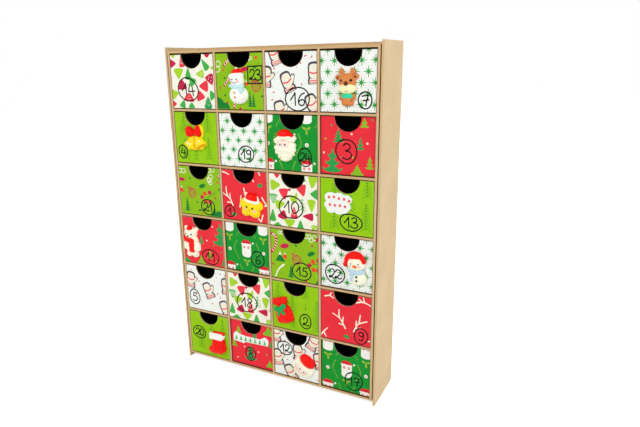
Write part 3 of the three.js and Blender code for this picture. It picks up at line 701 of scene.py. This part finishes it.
# Each drawer's ground ink, its print and how far the print lies off the facing's middle
PRINTS = {
    "14": ("cream", PRINT_14, .5+.6j), "23": ("olive", PRINT_23, -.2+0j), "16": ("white", PRINT_16, .3+.7j),
    "07": ("white", starbursts(-24.8+17j), -.2+.3j), "04": ("lime", PRINT_04, .8+1.3j),
    "19": ("white", starbursts(-28.7+17.6j), -.2+.9j), "24": ("green", village(-5.9+1.8j), .4-.1j),
    "03": ("red", PRINT_03, .3+.2j), "21": ("olive", PRINT_21, .3+0j), "01": ("red", PRINT_01, .5+0j),
    "10": ("cream", PRINT_10, .1-.3j), "13": ("lime", PRINT_13, .5-.1j), "11": ("red", PRINT_11, .8-.7j),
    "06": ("green", village(-1.9-1.2j), .7+.7j), "15": ("olive", PRINT_15, 1+0j),
    "22": ("white", starbursts(-25.1+17.4j), 1.2+.4j), "05": ("white", PRINT_05, 1.5+.5j),
    "18": ("cream", PRINT_10, .9+.1j), "02": ("lime", PRINT_02, 1-.2j), "09": ("red", PRINT_09, 1-.3j),
    "20": ("lime", PRINT_20, 1.6-1.1j), "08": ("red", PRINT_08, 1+1j), "12": ("white", PRINT_12, 2.2-.5j),
    "17": ("green", village(.1-1.2j), 1.1+.1j),
}


# Paper facings

def facing_outline(width, height):
    """A tray's front less a narrow margin, with the thumb notch in its upper edge."""
    x, y = width / 2 - PAPER_MARGIN, height / 2 - PAPER_MARGIN
    radius = NOTCH_WIDTH / 2 + NOTCH_RIM
    centre = 1j * (height / 2 - NOTCH_DEPTH + NOTCH_WIDTH / 2)
    arc = [centre + cmath.rect(radius, -math.pi * i / NOTCH_STEPS) for i in range(NOTCH_STEPS + 1)]
    return [*bar(x, PAPER_FOOT - height / 2), complex(x, y), complex(radius, y), *arc,
            complex(-radius, y), complex(-x, y)]


def arrange(outline, shapes):
    """Cuts the outline into triangles, each within one ink. Gives the corners, and for each triangle
    its corners and the number of the topmost shape that covers it, 0 for the ground."""
    corners, faces = [], []
    for ring in [outline, *(shape for _, shape in shapes)]:
        area = sum((a.conjugate() * b).imag for a, b in zip(ring, [*ring[1:], ring[0]]))
        faces.append([len(corners) + i for i in range(len(ring))])
        corners += [Vector((point.real, point.imag)) for point in (ring if area > 0 else ring[::-1])]
    points, _, triangles, _, _, covers = delaunay_2d_cdt(corners, [], faces, 1, 1e-4)
    return points, [(tri, max(cover)) for tri, cover in zip(triangles, covers) if 0 in cover]


def closed_sheet(triangles):
    """The corners in use, and the faces of a sheet's front, its back and the rim between them."""
    used = sorted({corner for tri in triangles for corner in tri})
    index, count = {corner: i for i, corner in enumerate(used)}, len(used)
    fronts = [tuple(index[corner] for corner in tri) for tri in triangles]
    backs = [tuple(count + corner for corner in tri[::-1]) for tri in fronts]
    edges = {(tri[i], tri[(i + 1) % 3]) for tri in fronts for i in range(3)}
    return used, fronts + backs + [(b, a, a + count, b + count) for a, b in edges if (b, a) not in edges]


def put(name, data):
    """A new object with the data, in the scene."""
    made = bpy.data.objects.new(name, data)
    bpy.context.scene.collection.objects.link(made)
    return made


def new_object(name, vertices, faces, materials, indices=None):
    mesh = bpy.data.meshes.new(name)
    mesh.from_pydata(vertices, [], faces)
    for material in materials:
        mesh.materials.append(material)
    if indices:
        mesh.polygons.foreach_set("material_index", indices)
    mesh.update()
    return put(name, mesh)


def make_facing(day, papers):
    """A tray's printed paper as one closed sheet, whose faces take the colour of the topmost ink."""
    low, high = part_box(f"drawer_tray_{day}")
    middle = (low + high) / 2
    ground, layout, shift = PRINTS[day]
    shapes = placed(layout, shift) + number(day)
    points, triangles = arrange(facing_outline((high.x - low.x) / MM, (high.z - low.z) / MM), shapes)
    corners, faces = closed_sheet([tri for tri, _ in triangles])
    vertices = [(middle.x + points[i].x * MM, low.y - depth * MM, middle.z + points[i].y * MM)
                for depth in (PAPER_GAP + PAPER, PAPER_GAP) for i in corners]
    tops = [ground, *(ink for ink, _ in shapes)]
    used = sorted({ground, "white", *(tops[top] for _, top in triangles)})
    fronts = [used.index(tops[top]) for _, top in triangles]
    indices = fronts + [used.index("white")] * (len(faces) - len(fronts))
    facing = new_object(f"facing_{day}", vertices, faces, [papers[ink] for ink in used], indices)
    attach(facing, f"drawer_{day}")


# Charms: forms with x to the right, y up and z out of the paper, in millimetres

def ball(x, y, z, across, up, out, turn=0):
    """An ellipsoid by its middle, its half sizes and its turn in the paper's plane."""
    return {"balls": [(Vector((x, y, z)), (across, up, out), math.radians(turn))]}


def tube(points, radius, end_radius=None):
    """A round-ended bar through points, which may taper. Its balls stand for it in heights."""
    growth = ((end_radius or radius) - radius) / (len(points) - 1)
    line = [Vector(point) for point in points]
    radii = [radius + growth * i for i in range(len(line))]
    return {"line": line, "radii": radii, "balls": [
        (a.lerp(b, k / 8), (r, r, r), 0) for a, b, r in zip(line, line[1:], radii) for k in range(9)]}


def roll(x0, y0, x1, y1, z, radius, end_radius=None):
    return tube([(x0, y0, z), (x1, y1, z)], radius, end_radius)


def height_over(forms, x, y):
    """How far the topmost form stands out at a point, 0 if none does."""
    heights = [0]
    for at, (across, up, out), turn in (ball for form in forms for ball in form["balls"]):
        local = complex(x - at.x, y - at.y) * cmath.rect(1, -turn)
        left = 1 - (local.real / across) ** 2 - (local.imag / up) ** 2
        heights.append(at.z + out * math.sqrt(left) if left > 0 else 0)
    return max(heights)


def bridge(mesh, rings):
    """Faces between rings of vertices."""
    for first, second in zip(rings, rings[1:]):
        for corners in zip(first, second, second[1:] + second[:1], first[1:] + first[:1]):
            mesh.faces.new(corners)


def add_tube(mesh, line, radii, sides=10):
    """Sweeps a round section along the line and closes it with a dome at each end."""
    dome = ((0.0, 1.0), (.35, .94), (.7, .71), (.95, .3))
    around = [2 * math.pi * k / sides for k in range(sides)]
    rings, last = [], len(line) - 1
    for i, point in enumerate(line):
        along = (line[min(i + 1, last)] - line[max(i - 1, 0)]).normalized()
        side = along.cross(Vector((0, 0, 1))).normalized()
        rise = side.cross(along)
        steps = dome if i == last else dome[:1]
        if i == 0:
            steps = [(-shift, share) for shift, share in dome[::-1]]
        for shift, share in steps:
            centre = point + along * shift * radii[i]
            rings.append([mesh.verts.new(centre + (side * math.cos(a) + rise * math.sin(a))
                                         * radii[i] * share) for a in around])
    bridge(mesh, rings)
    mesh.faces.new(rings[0])
    mesh.faces.new(reversed(rings[-1]))


def fused(forms):
    """The forms melted into one skin and cut flat at the paper, as a mesh in millimetres."""
    mesh = bmesh.new()
    for form in forms:
        if "line" in form:
            add_tube(mesh, form["line"], form["radii"])
            continue
        [(at, half, turn)] = form["balls"]
        place = Matrix.Translation(at) @ Matrix.Rotation(turn, 4, "Z") @ Matrix.Diagonal((*half, 1))
        bmesh.ops.create_icosphere(mesh, subdivisions=3, radius=1, matrix=place)
    bmesh.ops.recalc_face_normals(mesh, faces=mesh.faces)
    rough = bpy.data.meshes.new("rough")
    mesh.to_mesh(rough)
    mesh.free()
    body = put("rough", rough)
    remesh = body.modifiers.new("fuse", "REMESH")
    remesh.mode, remesh.voxel_size = "VOXEL", VOXEL
    smooth = body.modifiers.new("soften", "SMOOTH")
    smooth.factor, smooth.iterations = .5, SMOOTHING
    skin = bmesh.new()
    skin.from_object(body, bpy.context.evaluated_depsgraph_get())
    bpy.data.objects.remove(body)
    bpy.data.meshes.remove(rough)
    bmesh.ops.bisect_plane(skin, geom=[*skin.verts, *skin.edges, *skin.faces], plane_co=(0, 0, 0),
                           plane_no=(0, 0, 1), clear_inner=True)
    rim = [edge for edge in skin.edges if edge.is_boundary]
    bmesh.ops.triangulate(skin, faces=bmesh.ops.holes_fill(skin, edges=rim, sides=0)["faces"])
    bmesh.ops.recalc_face_normals(skin, faces=skin.faces)
    return skin


def patch(x, y, across, up, rise, turn=0):
    """A painted or moulded spot that follows the charm's surface: half sizes, and how far it domes."""
    return {"patch": complex(x, y), "size": (across, up), "rise": rise, "turn": turn}


def line(points, radius):
    """A thin drawn line that follows the charm's surface."""
    return {"drawn": [complex(*p) for p in points], "radius": radius}


def add_patch(mesh, detail, forms):
    """A domed top over a shallow back that is sunk into the charm."""
    rings = []
    for share, sunk in [(.3, 0), (.6, 0), (.86, 0), (1.0, 0), (1.0, 1), (.5, 1)]:
        across, up = (2 * size * share for size in detail["size"])
        rise = -.5 if sunk else .05 + detail["rise"] * math.sqrt(1 - share * share)
        rings.append([mesh.verts.new((spot.real, spot.imag, height_over(forms, spot.real, spot.imag) + rise))
                      for spot in turned(ellipse(0, across, up), detail["patch"], detail["turn"])])
    bridge(mesh, rings)
    mesh.faces.new(reversed(rings[0]))
    mesh.faces.new(rings[-1])


def with_details(details, forms):
    mesh = bmesh.new()
    for detail in details:
        if "patch" in detail:
            add_patch(mesh, detail, forms)
            continue
        points = curve(detail["drawn"], 5) if len(detail["drawn"]) > 2 else detail["drawn"]
        path = [Vector((p.real, p.imag, height_over(forms, p.real, p.imag) + .05)) for p in points]
        add_tube(mesh, path, [detail["radius"]] * len(path), 8)
    bmesh.ops.recalc_face_normals(mesh, faces=mesh.faces)
    return mesh


# Charm drawings

def bumps(points, size, out, height):
    """Small tufts at points."""
    return [ball(x, y, height, size, size, out) for x, y in points]


def bell(x, y, lean):
    """A bell as slices along its axis, by the middle of its mouth and its lean to the left."""
    forms = []
    for up, radius in ((.9, 8.2), (2, 7.4), (3.2, 6.5), (4.6, 5.9), (6, 5.4), (7.4, 5.0), (8.8, 4.6),
                       (10.2, 3.8), (11.2, 2.6)):
        centre = complex(x, y) + polar(1, 90 + lean) * up
        forms.append(ball(centre.real, centre.imag, 0, radius, 1.5, radius * .6 + .2, lean))
    return forms


def arc(x, y, across, up, degrees):
    """Points of an oval arc at each of the degrees."""
    return [(x + across * math.cos(t), y + up * math.sin(t)) for t in map(math.radians, degrees)]


RIM = [(9.8, .4), (9.8, -3.8), (8.2, -7.8), (5.4, -11.4), (-10, -2.4), (-9, -6.8), (-5.6, -11)]
CURLS = [(-7.4 + 2.9 * i, -6.6 - .9 * (i % 2)) for i in range(6)]
CURLS += [(-5.2 + 2.9 * i, -10.2 + .8 * (i % 2)) for i in range(5)]
CURLS += [(-2.2, -13.2), (1, -13.8), (3.8, -12.8)]
ARMS = [ball(*arc(0, 0, 7.4, 7.4, [lean])[0], 0, 6.8, 6, 5.2, lean) for lean in (5, 80, 161, 222, 304)]
HOOD = [(x, y, 1.6) for x, y in arc(.2, 7.4, 8.2, 6.8, range(200, -10, -14))]
TUFTS = [roll(-6.6 + 2.8 * i, 6.2, -6.6 + 2.8 * i, 11.2, 3.4, 1.75) for i in range(6)]
RIBS = [tube([(x, 5, 3.4), (x, -1, 4.6), (x - .6, -6, 4.8), (x - 2.2, -10.6, 4)], 1.5)
        for x in (-2.8, .2, 3.2, 6.2, 9)]
HAIR = arc(0, -.4, 9.6, 9.6, range(160, 400, 20))
# The face's lower edge, where a thin brown line is painted shade
EDGE = arc(-.2, -1.8, 7.9, 4.9, range(175, 384, 19))

# Each charm's drawer: its name, its turn, its fused colour masses, and the details laid on them
CHARMS = {
    "23": ("capped_snowman", 0, [
        ("body", "white", [ball(.4, -8, 0, 10.4, 8.8, 6.5), ball(-.8, 5.6, 0, 7.6, 7, 5.8)]),
        ("brim", "white", [tube([(-7.2, 9.2, 2), (-4, 10.2, 3), (0, 10.6, 3.2), (5.4, 10.3, 2.2)], 2.3),
            ball(-1, 16.4, 1, 1.5, 1.4, 1.5)]),
        ("cap", "red", [ball(-.8, 12.7, 0, 6.2, 3.9, 4.6)]),
        ("scarf", "sky", [tube([(-8, .6, 2), (-4, -.2, 4), (0, -.4, 4.6), (4, .3, 4), (6, .9, 2)], 1.8),
            ball(5, -4, 3.2, 2.9, 4.4, 3.2, 6)])], [
        ("buttons", "coral", [patch(-1.2, -5.7, 1.1, 1, .5), patch(-.7, -10, 1.1, 1, .5)]),
        ("cheeks", "pink", [patch(-4.6, 4, 1.3, .9, .1), patch(2.2, 4.6, 1.5, 1.1, .1)]),
        ("face", "black", [line([(-4.6, 6), (-3.7, 6.8), (-2.8, 6)], .3),
            line([(.4, 6.4), (1.3, 7.2), (2.2, 6.4)], .3), line([(-2.8, 3.9), (-1.2, 3), (.4, 4)], .24)])]),
    "07": ("reindeer", 0, [
        ("body", "brown", [ball(.4, 6.2, 0, 8.7, 7.6, 5.6), ball(-8.6, 9.8, 0, 3.3, 2.6, 2.5, -25),
            ball(8.8, 10.7, 0, 3.3, 2.6, 2.5, 25), roll(-3.2, 12, -4.8, 16, .8, 1.4),
            roll(3.8, 12, 5.2, 16.4, .8, 1.4), ball(-5, 16.4, .8, 1.9, 1.8, 1.8),
            ball(5.4, 16.8, .8, 1.9, 1.8, 1.8), roll(-4.2, 13, -7.2, 14.6, .6, 1.2),
            roll(4.6, 13.2, 7.8, 15, .6, 1.2), ball(1, -9.4, 0, 6.4, 6.4, 5),
            roll(-5, -6, -6, -9.2, .8, 1.5), roll(7, -5.6, 7.8, -8.8, .8, 1.5),
            ball(-1.8, -13.4, 0, 3.2, 2.4, 4), ball(4, -13.2, 0, 3.2, 2.4, 4)]),
        ("muzzle", "custard", [ball(.8, .2, 1.8, 8.4, 5.3, 5)]),
        ("scarf", "teal", [ball(1.2, -6.5, 3, 5.8, 2.5, 2.8),
            *bumps([(-2.8 + 2 * i, -7.6) for i in range(5)], 1.2, 1.2, 3.8)]),
        ("nose", "dark_brown", [ball(1, 4.6, 5.4, 2, 2.2, 1.8)])], [
        ("eyes", "black", [patch(-4.2, 7.4, 1.15, 1.2, .4), patch(5.4, 7.6, 1.15, 1.2, .4)]),
        ("creases", "dark_brown", [line([(.6, -1.8), (1.8, -2.4), (3.2, -1.8)], .14), line([(-3, -8.8),
            (-3.9, -10.6), (-2.6, -12.2)], .14), line([(5.4, -8.8), (6, -10.6), (4.9, -12.2)], .14)]),
        ("ears", "dark_brown", [patch(-8.6, 9.8, 1.3, .8, .1, -25), patch(8.8, 10.7, 1.3, .8, .1, 25)])]),
    "04": ("bells", 0, [
        ("left", "yellow", [*bell(-6.2, -8, -25), ball(-6.8, -8.8, .6, 2.2, 2.2, 2.2)]),
        ("right", "yellow", [*bell(7.2, -7.2, 29), ball(7.9, -8, .6, 2.2, 2.2, 2.2),
            ball(6.4, 10, .2, 4.2, 4.4, 2.2), tube([(10, 8.8, .4), (10, 5.4, .6), (8.4, 2, .6)], 1.3)]),
        ("bow", "red", [ball(-5.4, 7.4, 1.4, 4.7, 5.2, 3.2, 12), ball(4.6, 8.2, 1.4, 4.2, 5.6, 3.2, -12),
            ball(-.6, 7, 3, 1.8, 2.6, 2.6), ball(-6.3, 10.4, 2, 3, 2.4, 2.6, 30),
            ball(-6.5, 4.8, 2, 3, 2.2, 2.6, -30), ball(5.4, 11.4, 2, 2.8, 2.4, 2.6, -30),
            ball(5.6, 5.2, 2, 2.8, 2.2, 2.6, 30)])], [
        ("dots", "white", [patch(-9.4, -2.4, .9, .7, .2), patch(-7.2, -3.8, 1, .8, .2),
            patch(-4, -4.6, 1, .8, .2), patch(4.4, -3.2, .9, .6, .2, 30), patch(6.8, -1.4, .8, .6, .2, 30)]),
        # Painted shade: darker yellow in the bells' mouths and down the cleft between the bells
        ("mouth_shade", "painted_bell_shade", [patch(8, -6.9, 6.2, 1.5, .1, 29), patch(-6.8, -8, 6.2, .5, .1, -25),
            line([(.4, 1.6), (.3, -2.6), (.1, -7.2)], .4)]),
        ("rims", "yellow", [line([(1.8, -10), (7, -9), (13.6, -4.4)], .6)])]),
    "24": ("bearded_head", 0, [
        ("beard", "cream", [ball(0, -2, 0, 10.4, 9.8, 5.4), ball(.6, -10.4, 0, 6.2, 5.6, 4.2),
            ball(-3.4, -3.8, 4.2, 4, 2, 2.2, 8), ball(3.2, -4, 4.2, 4, 2, 2.2, -12),
            *[ball(x, y, 0, 2.2, 2.6, 3) for x, y in RIM], *bumps(CURLS, 1.7, 2.2, 2.6)]),
        ("brim", "cream", [ball(-8.8, 4.4, 1.4, 2.6, 3.2, 2.6), tube([(-9.2, 5, 1.8), (-6, 7, 2.8),
            (-.6, 8, 3.2), (5, 7.4, 2.8), (9.6, 5.6, 1.8)], 2.4), ball(10.6, 7.6, 1.4, 2.3, 2.3, 2.2)]),
        ("face", "skin", [ball(-.2, 1.2, 3, 7.4, 4.2, 3)]),
        ("cap", "red", [ball(-.4, 9.8, 0, 8.4, 6, 5.2), roll(4, 11, 9, 9, 1.2, 2.2, 1.6)])], [
        ("eyes", "black", [patch(-2.8, 1.4, .85, .9, .35), patch(2.6, 1.4, .85, .9, .35)])]),
    "01": ("star", 0, [
        ("body", "yellow", [ball(0, -.6, 0, 10.4, 10, 6.2), *ARMS]),
        ("brim", "cream", [tube([(-6, 7.8, 2.8), (-2, 6.6, 4.4), (2.6, 5.6, 4.8), (7, 4.8, 4),
            (9.4, 5, 2.8)], 1.8), tube([(9.4, 5, 2.8), (9.8, 7.6, 2.4), (8.8, 10.2, 2), (6.6, 12, 1.8)],
            1.3, .8), ball(-4.8, 13, 1.6, 2, 2, 2)]),
        ("hat", "red", [ball(1.8, 9.6, 1.4, 7.7, 4.9, 4.8, -6), tube([(-1, 12.4, 2.2), (-4, 13, 1.8)], 2.2,
            1.4)])], [
        ("eyes", "black", [patch(-2.8, 0, 1.15, 1.15, .4), patch(4, -1.2, 1.15, 1.15, .4)]),
        ("cheeks", "pink", [patch(-5.2, -2.4, 1.6, 1.2, .1), patch(5.8, -4.2, 1.9, 1.3, .1)]),
        ("mouth", "coral", [line([(-.6, -2.8), (.4, -3.5), (1.5, -3.1)], .2)])]),
    "11": ("bear", 0, [
        ("body", "cream", [ball(-.8, 9, 0, 7.9, 6.8, 6), ball(-.8, 6.6, 4.4, 2.8, 2.2, 2.2),
            *bumps([(-6.6, 14), (6.4, 13.4)], 2.4, 2.4, 0),
            ball(.4, -6.4, 0, 8.4, 9.4, 5.6), ball(3.4, .6, 0, 5, 5, 5), roll(-8, -2.8, -7.8, -7.8, 1, 2.3),
            roll(8.4, -2.8, 8.8, -7.8, 1, 2.3), ball(-3.2, -14, 0, 3.5, 3.6, 4.6),
            ball(4.2, -14.2, 0, 3.6, 3.6, 4.8)]),
        ("cap", "red", [ball(-.6, 14, 2.6, 3.6, 2.5, 3)]),
        ("scarf", "red", [tube([(-7.6, 2.6, 1.8), (-3, 1.4, 4), (1, 1.2, 4.2), (3.6, 1.2, 3.4)], 2.4),
            *[roll(x, 0, x, -9.8, 3.8, 1.9) for x in (0, 1.7, 3.4)]])], [
        ("eyes", "black", [patch(-3.8, 8.8, .75, .8, .4), patch(2.8, 8.6, .85, .9, .4),
            patch(-.8, 6.8, 1.2, .9, .5)])]),
    "22": ("hooded_snowman", 0, [
        ("body", "cream", [ball(1.2, 4.8, .6, 8.6, 7.2, 5.8), ball(3.6, -9, 0, 8, 7.4, 6.2)]),
        ("hood", "red", [tube(HOOD, 2.4), ball(.2, 11.4, 0, 7.6, 5.2, 4.4),
            ball(-9.4, 3, .4, 2.4, 2.7, 2.4)]),
        ("scarf", "powder", [tube([(-3.8, -1.8, 2.6), (0, -2.5, 4.2), (3.6, -2.6, 4.6), (8, -1.8, 2.6)], 2),
            tube([(-.8, -3.8, 4), (-1.2, -6.8, 4.2), (-1.4, -10, 3.4)], 2, 2.2)])], [
        ("eyes", "black", [patch(-2.4, 5.8, .5, .8, .25, 20), patch(4.8, 6.2, .5, .8, .25, -20),
            patch(3.2, -6.2, 1.05, 1.05, .4), patch(3.6, -9.8, 1.05, 1.05, .4)]),
        ("nose", "coral", [patch(1.6, 3.8, 2.3, 1.5, 1, -12)]),
        ("cheeks", "pink", [patch(-3.4, 3.4, 1.2, .8, .08), patch(5.8, 3.8, 1.3, .9, .08)])]),
    "02": ("sack", 17, [
        ("sack", "red", [ball(0, -5, 0, 10.6, 10.2, 6.4), ball(0, 4.6, 0, 6.2, 5.8, 4.4),
            ball(2, .2, 0, 7.6, 6.4, 5.2), ball(-5, -9.6, 0, 5.4, 4.8, 5), ball(5, -9.6, 0, 5.4, 4.8, 5)]),
        ("flap", "red", [roll(-6.8, 12.2, 6.2, 12.4, .8, 2.5), roll(-6.8, 9.4, 6.2, 9.8, 1.8, 2.4),
            *[roll(x, 7.6, x * 1.4, 3.6, 2.8, 1.1) for x in (-3.6, 0, 3.6)]]),
        ("bow", "green", [ball(-1, 3.2, 4.8, 2, 2, 1.9), ball(-5, 3.4, 4, 3.8, 2.8, 2, 12),
            ball(3.1, 4.8, 4, 4, 3, 2, 28), tube([(-2, 2, 4.9), (-3, -.6, 5.6), (-3.6, -2.8, 5.6)], 1.5,
            1.7), tube([(0, 2, 5), (1.6, -.2, 5.8), (3, -2.2, 5.8)], 1.5, 1.7)])], []),
    "20": ("stocking", 0, [
        ("leg", "red", [ball(3, -1, 0, 8.4, 10.4, 5), ball(-3.2, -9, 0, 9, 5, 5.6, 9),
            ball(4.6, -5.4, 0, 7.4, 7, 5.6), roll(-4.2, 12.2, 9.8, 12.8, .6, 1.5),
            roll(8.4, 11.4, 8.8, 2, 1.4, 1.8), *RIBS]),
        ("cuff", "white", [roll(-5.6, 8.4, 7.2, 9, 1.2, 3.7), *TUFTS])], []),
    "12": ("round_face", -36, [
        ("head", "cream", [ball(0, -.6, 0, 10.4, 10.4, 5.4), *bumps(HAIR, 2.5, 3, .4)]),
        ("face", "skin", [ball(-.2, -1.8, 2.2, 7.8, 4.8, 4)]),
        ("cap", "red", [ball(-.4, 8.2, .8, 9.2, 6.3, 5.2)]),
        ("brim", "cream", [tube([(-8.8, 4.2, 2.2), (-4.4, 3.4, 3.2), (3, 3, 3.4), (8.2, 3.4, 2.2)], 1.5)])], [
        ("eyes", "black", [patch(-1.2, -1.4, .7, .8, .3), patch(4, -1.8, .7, .8, .3)]),
        # Painted shade: a thin brown line along the face's lower edge
        ("face_edge_shade", "brown", [line(EDGE, .14)])]),
}


def make_charm(day, name, turn, masses, details, resins):
    """Fits a charm's drawing to its CAD solid and puts each colour in place of it."""
    solid = f"{name}_charm_{day}"
    low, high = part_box(solid)
    forms = [form for _, _, group in masses for form in group]
    skins = [(part, paint, fused(group)) for part, paint, group in masses]
    skins += [(part, paint, with_details(group, forms)) for part, paint, group in details]
    for _, _, skin in skins:
        skin.transform(Matrix.Rotation(math.radians(turn), 4, "Z"))
    xs, ys, _ = zip(*(vertex.co for _, _, skin in skins[:len(masses)] for vertex in skin.verts))
    left, right, bottom, top = min(xs), max(xs), min(ys), max(ys)
    scale = min((high.z - low.z) / (top - bottom), (high.x - low.x) / (right - left))
    for part, paint, skin in skins:
        for vertex in skin.verts:
            x, y, z = vertex.co
            vertex.co = ((low.x + high.x) / 2 + (x - (left + right) / 2) * scale, high.y - z * scale,
                         (low.z + high.z) / 2 + (y - (bottom + top) / 2) * scale)
        for face in skin.faces:
            face.smooth = True
        mesh = bpy.data.meshes.new(f"{solid}_{part}")
        skin.to_mesh(mesh)
        skin.free()
        mesh.materials.append(resins[paint])
        made = put(mesh.name, mesh)
        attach(made, f"drawer_{day}")
        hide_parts(solid)


# Boards

def paint_boards():
    """Gives the CAD boards and trays their kraft."""
    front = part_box("cabinet_left_wall")[0].y
    first, second, below = (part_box(f"drawer_tray_{day}") for day in ("14", "23", "04"))
    materials = {
        "divider": kraft_material("cabinet_upright", LINER, UPRIGHT_EDGE, PLIES_UP, front),
        "shelf": kraft_material("cabinet_level", LINER, LEVEL_EDGE, PLIES_ACROSS, front),
        "cover": kraft_material("cover_board", COVER, COVER_EDGE, PLIES_UP),
        "drawer": tray_material(first, second[0].x - first[0].x, first[0].z - below[0].z, CARD * MM)}
    for name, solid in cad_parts.items():
        kind = "divider" if name.endswith("_wall") else name.split("_")[0]
        if "_charm_" not in name:
            solid.data.materials.clear()
            solid.data.materials.append(materials.get(kind, materials["shelf"]))


# Stage

def add_lamp(name, place, size, watts):
    lamp = bpy.data.lights.new(name, "AREA")
    lamp.shape, lamp.size, lamp.energy = "DISK", size, watts
    holder = put(name, lamp)
    holder.location = place
    holder.rotation_euler = (Vector(AIM) - Vector(place)).to_track_quat("-Z", "Y").to_euler()


def seen_rays(tree):
    """1 for what the camera sees, straight, mirrored or through glass, otherwise 0."""
    path = node(tree, "LightPath", {}).outputs
    total = math_node(tree, "ADD", path["Is Camera Ray"], path["Is Glossy Ray"])
    return math_node(tree, "MINIMUM", math_node(tree, "ADD", total, path["Is Transmission Ray"]), 1.0)


def floor_material():
    """A white floor with a glow that only the eye sees, so that its shadows stay pale."""
    material, tree, surface = new_material("floor")
    surface.inputs["Base Color"].default_value = srgb(*FLOOR)
    surface.inputs["Roughness"].default_value = .9
    glow = node(tree, "Emission", {"Strength": math_node(tree, "MULTIPLY", seen_rays(tree), FLOOR_GLOW)})
    both = node(tree, "AddShader", {0: surface.outputs[0], 1: glow.outputs[0]}).outputs[0]
    tree.links.new(both, tree.nodes["Material Output"].inputs["Surface"])
    return material


def add_world():
    """White to the camera, and a softer white as light."""
    world = bpy.data.worlds.new("studio")
    world.use_nodes = True
    tree = world.node_tree
    tree.nodes.clear()
    rays = seen_rays(tree)
    lit, seen = (node(tree, "Background", {"Color": (1, 1, 1, 1), "Strength": strength}).outputs[0]
                 for strength in (WORLD_STRENGTH, 1.0))
    both = node(tree, "MixShader", {0: rays, 1: lit, 2: seen}).outputs[0]
    node(tree, "OutputWorld", {"Surface": both})
    bpy.context.scene.world = world


def add_stage():
    add_world()
    corners = [(x * FLOOR_REACH, y * FLOOR_REACH, 0) for x, y in ((-1, -1), (1, -1), (1, 1), (-1, 1))]
    new_object("floor", corners, [(0, 1, 2, 3)], [floor_material()])
    for name, (place, size, watts) in LAMPS.items():
        add_lamp(name, place, size, watts)


def add_camera():
    camera = bpy.data.cameras.new("camera")
    camera.sensor_width = SENSOR_WIDTH
    camera.lens = FOCAL_PIXELS * SENSOR_WIDTH / IMAGE_WIDTH
    camera.shift_x, camera.shift_y = SHIFT
    camera.clip_start = .01
    right = Vector(CAMERA_RIGHT).normalized()
    up = right.cross(Vector(CAMERA_FORWARD)).normalized()
    turn = Matrix((right, up, right.cross(up))).transposed().to_4x4()
    holder = put("camera", camera)
    holder.matrix_world = Matrix.Translation(Vector(CAMERA_PLACE) * MM) @ turn
    bpy.context.scene.camera = holder


paint_boards()
papers = {ink: paper_material(ink) for ink in INKS}
for day in PRINTS:
    make_facing(day, papers)
resins = {paint: resin_material(paint) for paint in PAINTS}
for day, charm in CHARMS.items():
    make_charm(day, *charm, resins)
add_stage()
add_camera()
bpy.context.scene.view_settings.view_transform = "Standard"
